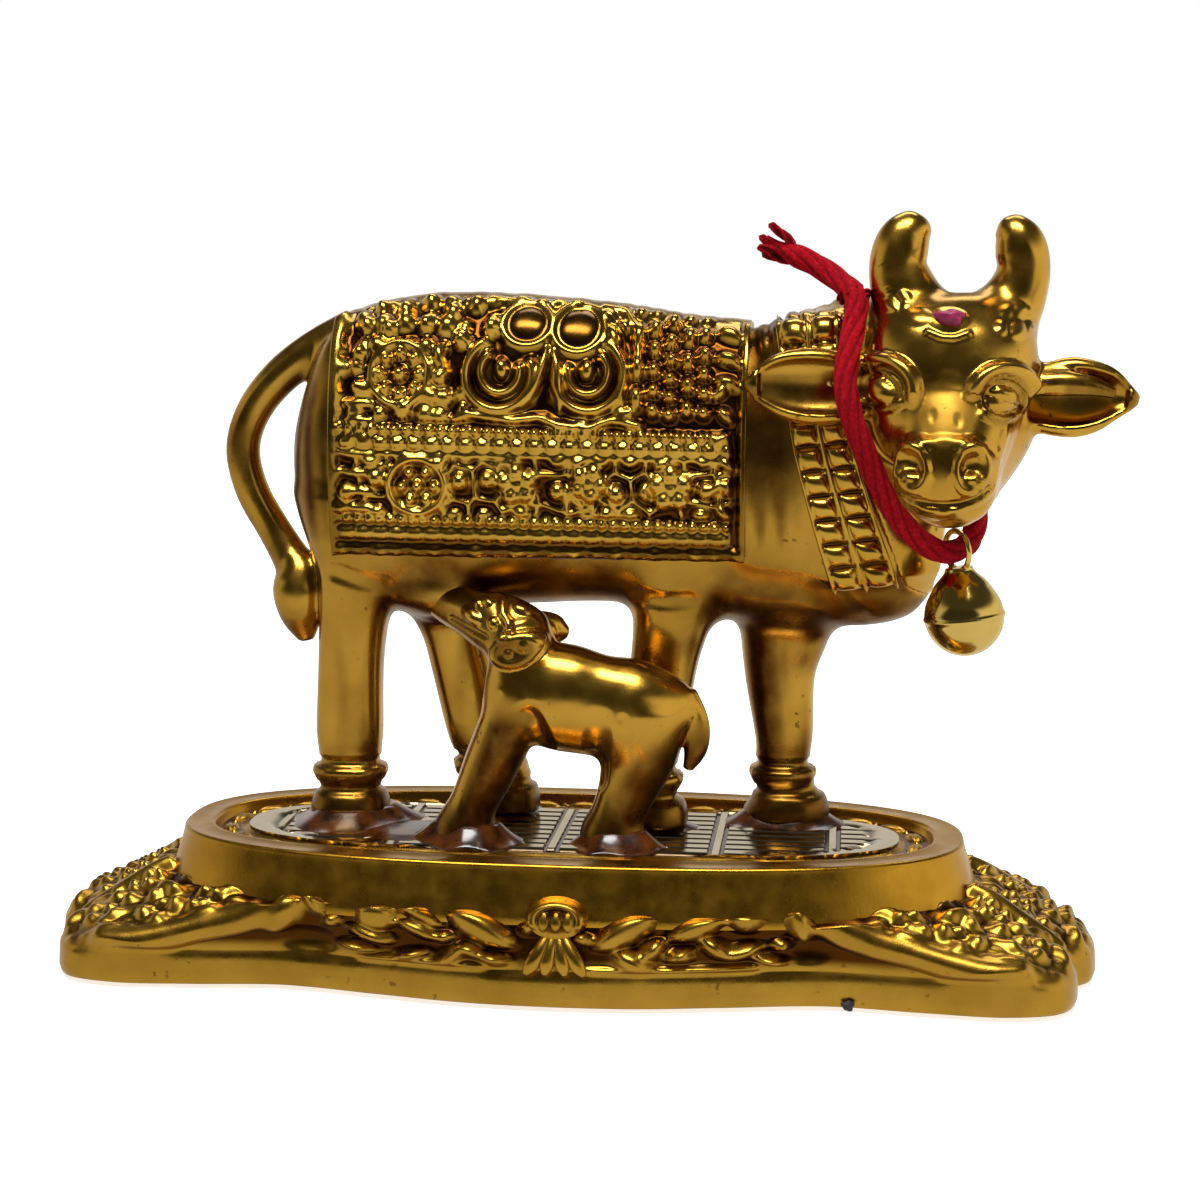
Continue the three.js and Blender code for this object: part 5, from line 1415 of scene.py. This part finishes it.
def makeDrum():
    # wall, rim and groove in one turned ring: profile (inset, height) carried round the oval
    angles = circle(720)
    h, e, rim, flare, foot = (plinth[key] for key in ("height", "edge", "rim", "flare", "foot"))
    low = h - plinth["grooveDepth"]
    inner = rim + plinth["groove"]
    wall = [(-flare, foot - 0.6), (-flare, foot)]
    wall += [(-flare * (1 - s) ** 1.15, foot + (h - e - foot) * s) for s in np.linspace(0.06, 1, 16)]
    corner = [(e * (1 - math.cos(a)), h - e + e * math.sin(a)) for a in np.linspace(0.2, math.pi / 2, 7)]
    top = [(e + (rim - 0.3 - e) * s, h - 0.1 * math.sin(math.pi * s)) for s in np.linspace(0.08, 1, 14)]
    lip = [(rim - 0.12, h - 0.02), (rim + 0.02, h - 0.14), (rim + 0.1, h - 0.4), (rim + 0.2, low + 0.25),
           (rim + 0.35, low)]
    groove = [(rim + 0.35 + (plinth["groove"] - 0.7) * s, low) for s in np.linspace(0.05, 0.95, grooveSteps)]
    close = [(inner - 0.3, low), (inner - 0.1, low + 0.1), (inner + 0.3, low + 0.3),
             (inner + 1.2, low + 0.3)]
    profile = wall + corner + top + lip + groove + close
    rings = np.array([levelRing(drumRing(inset, angles), z) for inset, z in profile])
    # leaves lying in the groove: a row of pointed ovals with beads between
    start = len(wall + corner + top + lip)
    middle = rings[start + grooveSteps // 2]
    arc = lengthAlong(middle)
    total = arc[-1] + np.linalg.norm(middle[0] - middle[-1])
    phase = (arc / total * round(total / plinth["leafPitch"])) % 1 - 0.5
    across = np.linspace(-1, 1, grooveSteps)[:, None]
    leaf = np.clip(1 - (phase / 0.4) ** 2 - (across / 0.75) ** 2, 0, 1) ** 0.6
    bead = np.clip(1 - ((np.abs(phase) - 0.5) / 0.09) ** 2 - (across / 0.3) ** 2, 0, 1)
    vein = hump(across / 0.12) * (np.abs(phase) < 0.35)
    relief = np.maximum(leaf - 0.25 * vein, bead * 0.8)
    rings[start:start + grooveSteps, :, 2] += relief * 0.5
    # painted shade round the leaves and beads in the groove
    deep = np.zeros(rings.shape[:2])
    deep[start:start + grooveSteps] = smoothStep(0.3, 0.0, relief)
    paintedShade = np.concatenate([deep.ravel(), [0, 0]])
    return addPiece("plinth_drum", tubeBody(rings), wallGold, "plinth_gilding", (), {"paintedShade": paintedShade}, 50)


tiles = dict(pitch=1.85, gap=0.5, rows=9, low=12.55, rise=0.25, bevel=0.09,
             strips=(-29.5, -17.0, -0.9, 15.2, 26.5), halfStrip=0.42, joint=0.32, oval=(33.1, 9.95))


def makeFloor():
    # tiles between grooves: a plate on a grid that is dense at each groove
    pitch, rows, bevel = tiles["pitch"], tiles["rows"], tiles["bevel"]
    half = (pitch - tiles["gap"]) / 2
    strip, joint = tiles["halfStrip"], tiles["halfStrip"] + tiles["joint"]
    ys = []
    for r in range(rows):
        c = (r - (rows - 1) / 2) * pitch
        ys += [c - half - 0.02, c - half + bevel, c, c + half - bevel, c + half + 0.02]
    ys = np.array([ys[0] - 0.6] + ys + [ys[-1] + 0.6])
    xs = [np.linspace(-33.2, 33.2, 90)]
    for s in tiles["strips"]:
        for d in (strip - bevel, strip + 0.02, joint, joint + bevel + 0.02):
            xs.append(np.array([s - d, s + d]))
    xs = np.unique(np.round(np.concatenate(xs), 3))
    x, y = np.meshgrid(xs, ys, indexing="ij")
    nearest = np.abs(x[..., None] - np.array(tiles["strips"])).min(-1)
    inside = np.abs(y) < rows * pitch / 2
    inStrip = smoothStep(strip + 0.02, strip - bevel, nearest) * inside
    local = np.abs((y / pitch + (rows - 1) / 2 + 0.5) % 1 - 0.5) * pitch
    onTile = smoothStep(half + 0.02, half - bevel, local) * inside
    level = np.maximum(inStrip, onTile * smoothStep(joint, joint + bevel, nearest))
    # the plate ends along the oval of the groove: k = |x / a|^q + |y / b|^q,
    # with a plain border beyond k = 0.8
    power = plinth["roundness"]
    k = np.abs(x / tiles["oval"][0]) ** power + np.abs(y / tiles["oval"][1]) ** power
    level = np.maximum(level * smoothStep(0.80, 0.78, k), smoothStep(0.8, 0.84, k) * (k > 0.8))
    scale = np.where(k > 1, k ** (-1 / power), 1)
    outer = np.stack([x * scale, y * scale, tiles["low"] + tiles["rise"] * level], -1)
    body = sheetBody(outer, np.array([0, 0, -0.5]), 1)
    # painted shade in the grooves between the tiles
    paintedShade = np.concatenate([(1 - level).ravel(), np.ones(level.size)])
    return addPiece("plinth_floor", body, floorGold, "plinth_gilding", (), {"paintedShade": paintedShade}, 25)


button = dict(radii=(3.0, 1.95), height=8.5, reach=17.5, lean=0.28, thickness=1.6, near=0.9, far=0.0)


def makeButtons():
    # a button with two tassels in the middle of each long side: r(a), h(rho) turned about the outward axis
    bodies, recesses = [], []
    rho = np.linspace(0.02, 1, 34)[:, None]
    a = circle(96)[None, :]
    c, s = rho * np.cos(a), rho * np.sin(a)
    for side, middle in ((-1, button["near"]), (1, button["far"])):
        # an arched band over three small lobes, as a shell
        band = hump((rho - 0.78) / 0.2) * smoothStep(-0.75, -0.2, np.sin(a))
        shell = np.maximum.reduce([mound(c, s, (place, -0.05), (0.2, 0.5)) for place in (-0.38, 0.02, 0.4)])
        rise = 0.3 + 0.8 * np.sqrt(1 - 0.98 * rho ** 2) + 0.6 * np.maximum(band, 0.6 * np.sqrt(shell))
        over = button["radii"][1] * s
        reach = side * (button["reach"] - over * button["lean"] + rise * smoothStep(1.02, 0.9, rho))
        dome = np.stack([middle + button["radii"][0] * c, reach, button["height"] + over], -1)[::-1]
        back = dome[:1] - [0, side * button["thickness"], 0]
        bodies.append(tubeBody(np.concatenate([back, dome])))
        # painted dark reflection inside the arch, but for the three small lobes
        brown = (0.85 * smoothStep(0.68, 0.5, rho) * (1 - smoothStep(0.3, 0.8, shell)))[::-1]
        recesses.append(np.concatenate([np.zeros(brown.shape[1]), brown.ravel(), [0, 0]]))
        # the tassels' cords fan out below: x from the middle, y, z and half widths
        for hand in (-1.0, 1.0, -0.35, 0.35):
            rows = [(middle + hand * dx, side * y, z, w, d) for dx, y, z, w, d in (
                (0.7, 18.0, 6.9, 0.55, 0.5), (1.4, 18.7, 5.7, 0.7, 0.6), (2.2, 19.1, 4.4, 0.75, 0.6),
                (2.8, 19.1, 3.5, 0.3, 0.3))]
            bodies.append(limb(rows, alongX, 32, 10, np.zeros(3)))
            recesses.append(np.zeros(len(bodies[-1][0])))
    paintedShade = np.concatenate(recesses)
    return addPiece("plinth_buttons", together(bodies), skirtGold, "plinth_gilding", (), {"paintedShade": paintedShade})


makeSkirt()
makeDrum()
makeFloor()
makeButtons()

# bell

bell = dict(top=(37.9, -3.68, 42.3), radius=3.85, wall=0.4, slit=0.9, wire=0.6, neck=0.7, tilt=0.13,
            turn=0.57, loopRadius=1.9, clapper=1.1, voxel=0.11)


def makeBell():
    # distances to a hollow ball with a seam, a slit with round ends, a neck, a wire loop and a clapper
    radius, slitWidth, loopRadius = bell["radius"], bell["slit"], bell["loopRadius"]
    up = -np.array([math.sin(bell["tilt"]), 0, -math.cos(bell["tilt"])])
    top = np.array(bell["top"])
    centre = top - up * (radius + bell["neck"] + loopRadius)
    h = bell["voxel"]
    low, high = np.minimum(centre - 5.2, top - 3.0), np.maximum(centre + 5.2, top + 3.0)
    first = np.floor(low / h).astype(int)
    shape = np.ceil(high / h).astype(int) - first + 1
    grid = np.stack(np.meshgrid(*[(first[k] + np.arange(shape[k])) * h for k in range(3)], indexing="ij"),
                    -1)
    # the bell's own frame: up its axis, level across the slit
    level = np.array([0.0, 1.0, 0.0])
    side = np.cross(level, up)
    d = grid - centre
    u, v, w = d @ side, d @ level, d @ up
    form = np.abs(np.sqrt((d * d).sum(-1)) - radius + bell["wall"] / 2) - bell["wall"] / 2
    # a rolled seam round the middle
    form = softMin(form, np.hypot(np.hypot(u, v) - radius + 0.04, w) - 0.16, 0.25)
    # the slit across the underside ends in two round holes
    holes = np.hypot(np.abs(u) - radius * 0.72, v) - slitWidth * 0.85
    slit = np.minimum(np.maximum(np.abs(v) - slitWidth / 2, w + 0.9), holes)
    form = np.maximum(form, -np.maximum(slit, w + 0.3))
    girth = 1.35 + 0.95 * smoothStep(radius + 0.9, radius - 0.9, w)
    neck = np.maximum((np.hypot(u, v) - girth) * 0.9, np.abs(w - radius + 0.1) - 1.1)
    form = softMin(form, neck, 1.1)
    # the wire loop, turned about the bell's axis; the clapper ball lies inside
    across = side * math.cos(bell["turn"]) + level * math.sin(bell["turn"])
    e = grid - top
    loop = np.hypot(np.hypot(e @ up, e @ np.cross(across, up)) - loopRadius, e @ across) - bell["wire"] / 2
    clapper = np.sqrt(((d + up * 2.0) ** 2).sum(-1)) - bell["clapper"]
    form = np.minimum(np.minimum(form, loop), clapper)
    field = dict(values=np.clip(form, -0.9, 0.9).astype(np.float32), first=first, voxel=h, band=9)
    return addPiece("bell_ball", skinOf(field, 2, 2), bellBrass, "brass", ["bell"])


bellPiece = makeBell()

# glue pools

# resin round the feet and a low run from the hind hoof to the calf's forefoot: x, y, half width,
# half depth, climb and phase
pools = [(-22.6, 1.2, 6.8, 6.6, 1.5, 0.3), (21.4, 6.3, 6.0, 5.4, 1.6, 1.7), (-9.7, -5.2, 6.0, 4.6, 1.7, 2.9),
         (5.2, -5.2, 5.4, 4.4, 1.5, 4.1), (-8.4, 6.2, 5.2, 4.9, 0.7, 5.2), (7.7, 1.7, 5.0, 4.6, 0.7, 0.9),
         (-16.2, -2.6, 7.4, 5.2, 0.15, 3.5)]


def makeGlue():
    # rho(a) = 1 + waves; a film 0.3 sqrt(1 - s^2) that climbs as ((1 - s) / 0.45)^1.6 to the hoof
    bodies = []
    a = circle(96)
    s = np.linspace(0.03, 1, 22)[:, None]
    for x, y, width, depth, rise, phase in pools:
        edge = 1 + 0.08 * np.sin(2 * a + phase) + 0.06 * np.sin(3 * a + 2 * phase)
        edge = edge + 0.04 * np.sin(5 * a + phase)
        px = x + width * edge * s * np.cos(a)
        py = np.clip(y + depth * edge * s * np.sin(a), -9.6, 9.6)
        pz = 12.6 + (0.3 * np.sqrt(1.001 - s ** 2)
                     + rise * np.clip((1 - s) / 0.45, 0, 1) ** 1.6) * np.ones_like(a)
        dome = np.stack([px, py, pz], -1)[::-1]
        bodies.append(tubeBody(np.concatenate([dome[:1] - [0, 0, 0.3], dome])))
    return addPiece("glue_pools", together(bodies), resin, "plinth_gilding")


makeGlue()

# paint mark and chips


def makeDabs():
    # low caps pressed on the surface: p(s, a) on a disc, bulged along the outward axis
    for name, centre, radii, axis, rise, material, slotName in (
            ("tilak", (36.35, -10.75, 64.75), (1.3, 0.75), (0, -1, 0.45), 0.55, tilakPaint, "gilding"),
            ("plinth_chip", (28.3, -15.9, 0.5), (0.6, 0.5), (0.1, -1, 0), 0.25, chipBlack,
             "plinth_gilding")):
        axis = unit(np.array(axis, float))
        side = unit(np.cross(axis, [0.05, 0.02, 1.0]))
        over = np.cross(side, axis)
        a = circle(40)
        s = np.linspace(0.04, 1, 12)[:, None]
        edge = 1 + 0.12 * np.sin(3 * a + 1) + 0.08 * np.sin(5 * a)
        u, v = radii[0] * edge * s * np.cos(a), radii[1] * edge * s * np.sin(a)
        lift = rise * (1 - s ** 2) * np.ones_like(a)
        cap = (np.array(centre) + u[..., None] * side + v[..., None] * over + lift[..., None] * axis)[::-1]
        addPiece(name, tubeBody(np.concatenate([cap[:1] - axis * rise, cap])), material, slotName)


makeDabs()

print("pieces are made")

# stage and light

light = dict(tableHalf=3.0, tableLevel=-0.0004, left=0.68, right=1.05, behind=0.75, overhead=0.07,
             room=0.045, aim=(0, 0, 0.04))
lamps = [("lampFront", (-0.03, -0.23, 0.61), (0.42, 0.19), 4.1),
         ("lampTop", (0.02, 0.4, 0.6), (0.5, 0.2), 1.2)]


def makeStage():
    # the white card under the plinth
    s, z = light["tableHalf"], light["tableLevel"]
    mesh = bpy.data.meshes.new("tabletop")
    mesh.from_pydata([(-s, -s, z), (s, -s, z), (s, s, z), (-s, s, z)], [], [(0, 1, 2, 3)])
    table = bpy.data.objects.new("tabletop", mesh)
    bpy.context.scene.collection.objects.link(table)
    material, tree, shader, place = newMaterial("matWhiteCard")
    grain = ramp(tree, noise(tree, place, 700.0, 2.0), [(0.3, "#fbfbfa"), (0.7, "#ffffff")])
    tree.links.new(grain, shader.inputs["Base Color"])
    shader.inputs["Roughness"].default_value = 0.9
    shader.inputs["Emission Color"].default_value = fromHex("#ffffff")
    # the card looks white; the gold mirrors it dimmer on the left and in front, as under the tent
    where = node(tree, "SeparateXYZ", i0=place)
    across = mapped(tree, where.outputs["X"], -0.2, 0.25, light["left"], light["right"])
    ahead = mapped(tree, where.outputs["Y"], -0.42, -0.2, 0.1, 1.0, "SMOOTHSTEP")
    mirrored = node(tree, "Emission", i0=(1, 0.98, 0.94, 1), i1=calc(tree, "MULTIPLY", across, ahead))
    away = node(tree, "VectorMath", {"operation": "LENGTH"}, i0=place).outputs["Value"]
    tree.links.new(mapped(tree, away, 0.2, 0.5, 0.7, 1.0), shader.inputs["Emission Strength"])
    looking = node(tree, "LightPath").outputs["Is Camera Ray"]
    mix = node(tree, "MixShader", i0=looking, i1=mirrored.outputs[0], i2=shader.outputs[0])
    output = next(n for n in tree.nodes if n.type == "OUTPUT_MATERIAL")
    tree.links.new(mix.outputs[0], output.inputs[0])
    mesh.materials.append(material)


def makeWorld():
    # a white sweep behind, a dimmer ceiling and the dark room on the photographer's side,
    # as the gold reflects them
    world = bpy.data.worlds.new("lightTent")
    bpy.context.scene.world = world
    world.use_nodes = True
    tree = world.node_tree
    tree.nodes.clear()

    def between(factor, first, second):
        return node(tree, "Mix", {"data_type": "FLOAT"}, i0=factor, i2=first, i3=second).outputs[0]

    def vector(operation, first, output, **second):
        return node(tree, "VectorMath", {"operation": operation}, i0=first, **second).outputs[output]
    direction = node(tree, "TexCoord").outputs["Generated"]
    level = vector("NORMALIZE", vector("MULTIPLY", direction, 0, i1=(1, 1, 0)), 0)
    parts = node(tree, "SeparateXYZ", i0=level)
    upward = node(tree, "SeparateXYZ", i0=direction).outputs["Z"]
    sides = mapped(tree, parts.outputs["X"], -0.8, 0.8, light["left"], light["right"])
    tent = between(mapped(tree, parts.outputs["Y"], 0.3, 0.9), sides, light["behind"])
    facing = vector("DOT_PRODUCT", level, "Value", i1=(-0.2, -0.98, 0))
    facing = calc(tree, "MULTIPLY_ADD", upward, -0.55, facing)
    tent = between(mapped(tree, facing, 0.34, 0.6, 0.0, 1.0, "SMOOTHSTEP"), tent, light["room"])
    lit = between(mapped(tree, upward, 0.3, 0.55, 0.0, 1.0, "SMOOTHSTEP"), tent, light["overhead"])
    mirrored = node(tree, "Background", Color=(1, 0.97, 0.92, 1), Strength=lit)
    seen = node(tree, "Background", Color=(1, 1, 1, 1), Strength=1.0)
    looking = node(tree, "LightPath").outputs["Is Camera Ray"]
    mix = node(tree, "MixShader", i0=looking, i1=mirrored.outputs[0], i2=seen.outputs[0])
    tree.links.new(mix.outputs[0], node(tree, "OutputWorld").inputs[0])


def makeLamp(name, place, size, watts):
    # a softbox aimed at the middle of the figure
    data = bpy.data.lights.new(name, "AREA")
    data.shape = "RECTANGLE"
    data.size, data.size_y, data.energy = *size, watts
    lamp = bpy.data.objects.new(name, data)
    lamp.location = place
    lamp.rotation_euler = (Vector(light["aim"]) - Vector(place)).to_track_quat("-Z", "Y").to_euler()
    bpy.context.scene.collection.objects.link(lamp)


makeStage()
makeWorld()
for lamp in lamps:
    makeLamp(*lamp)
bpy.context.scene.view_settings.view_transform = "Standard"
print("light is set")
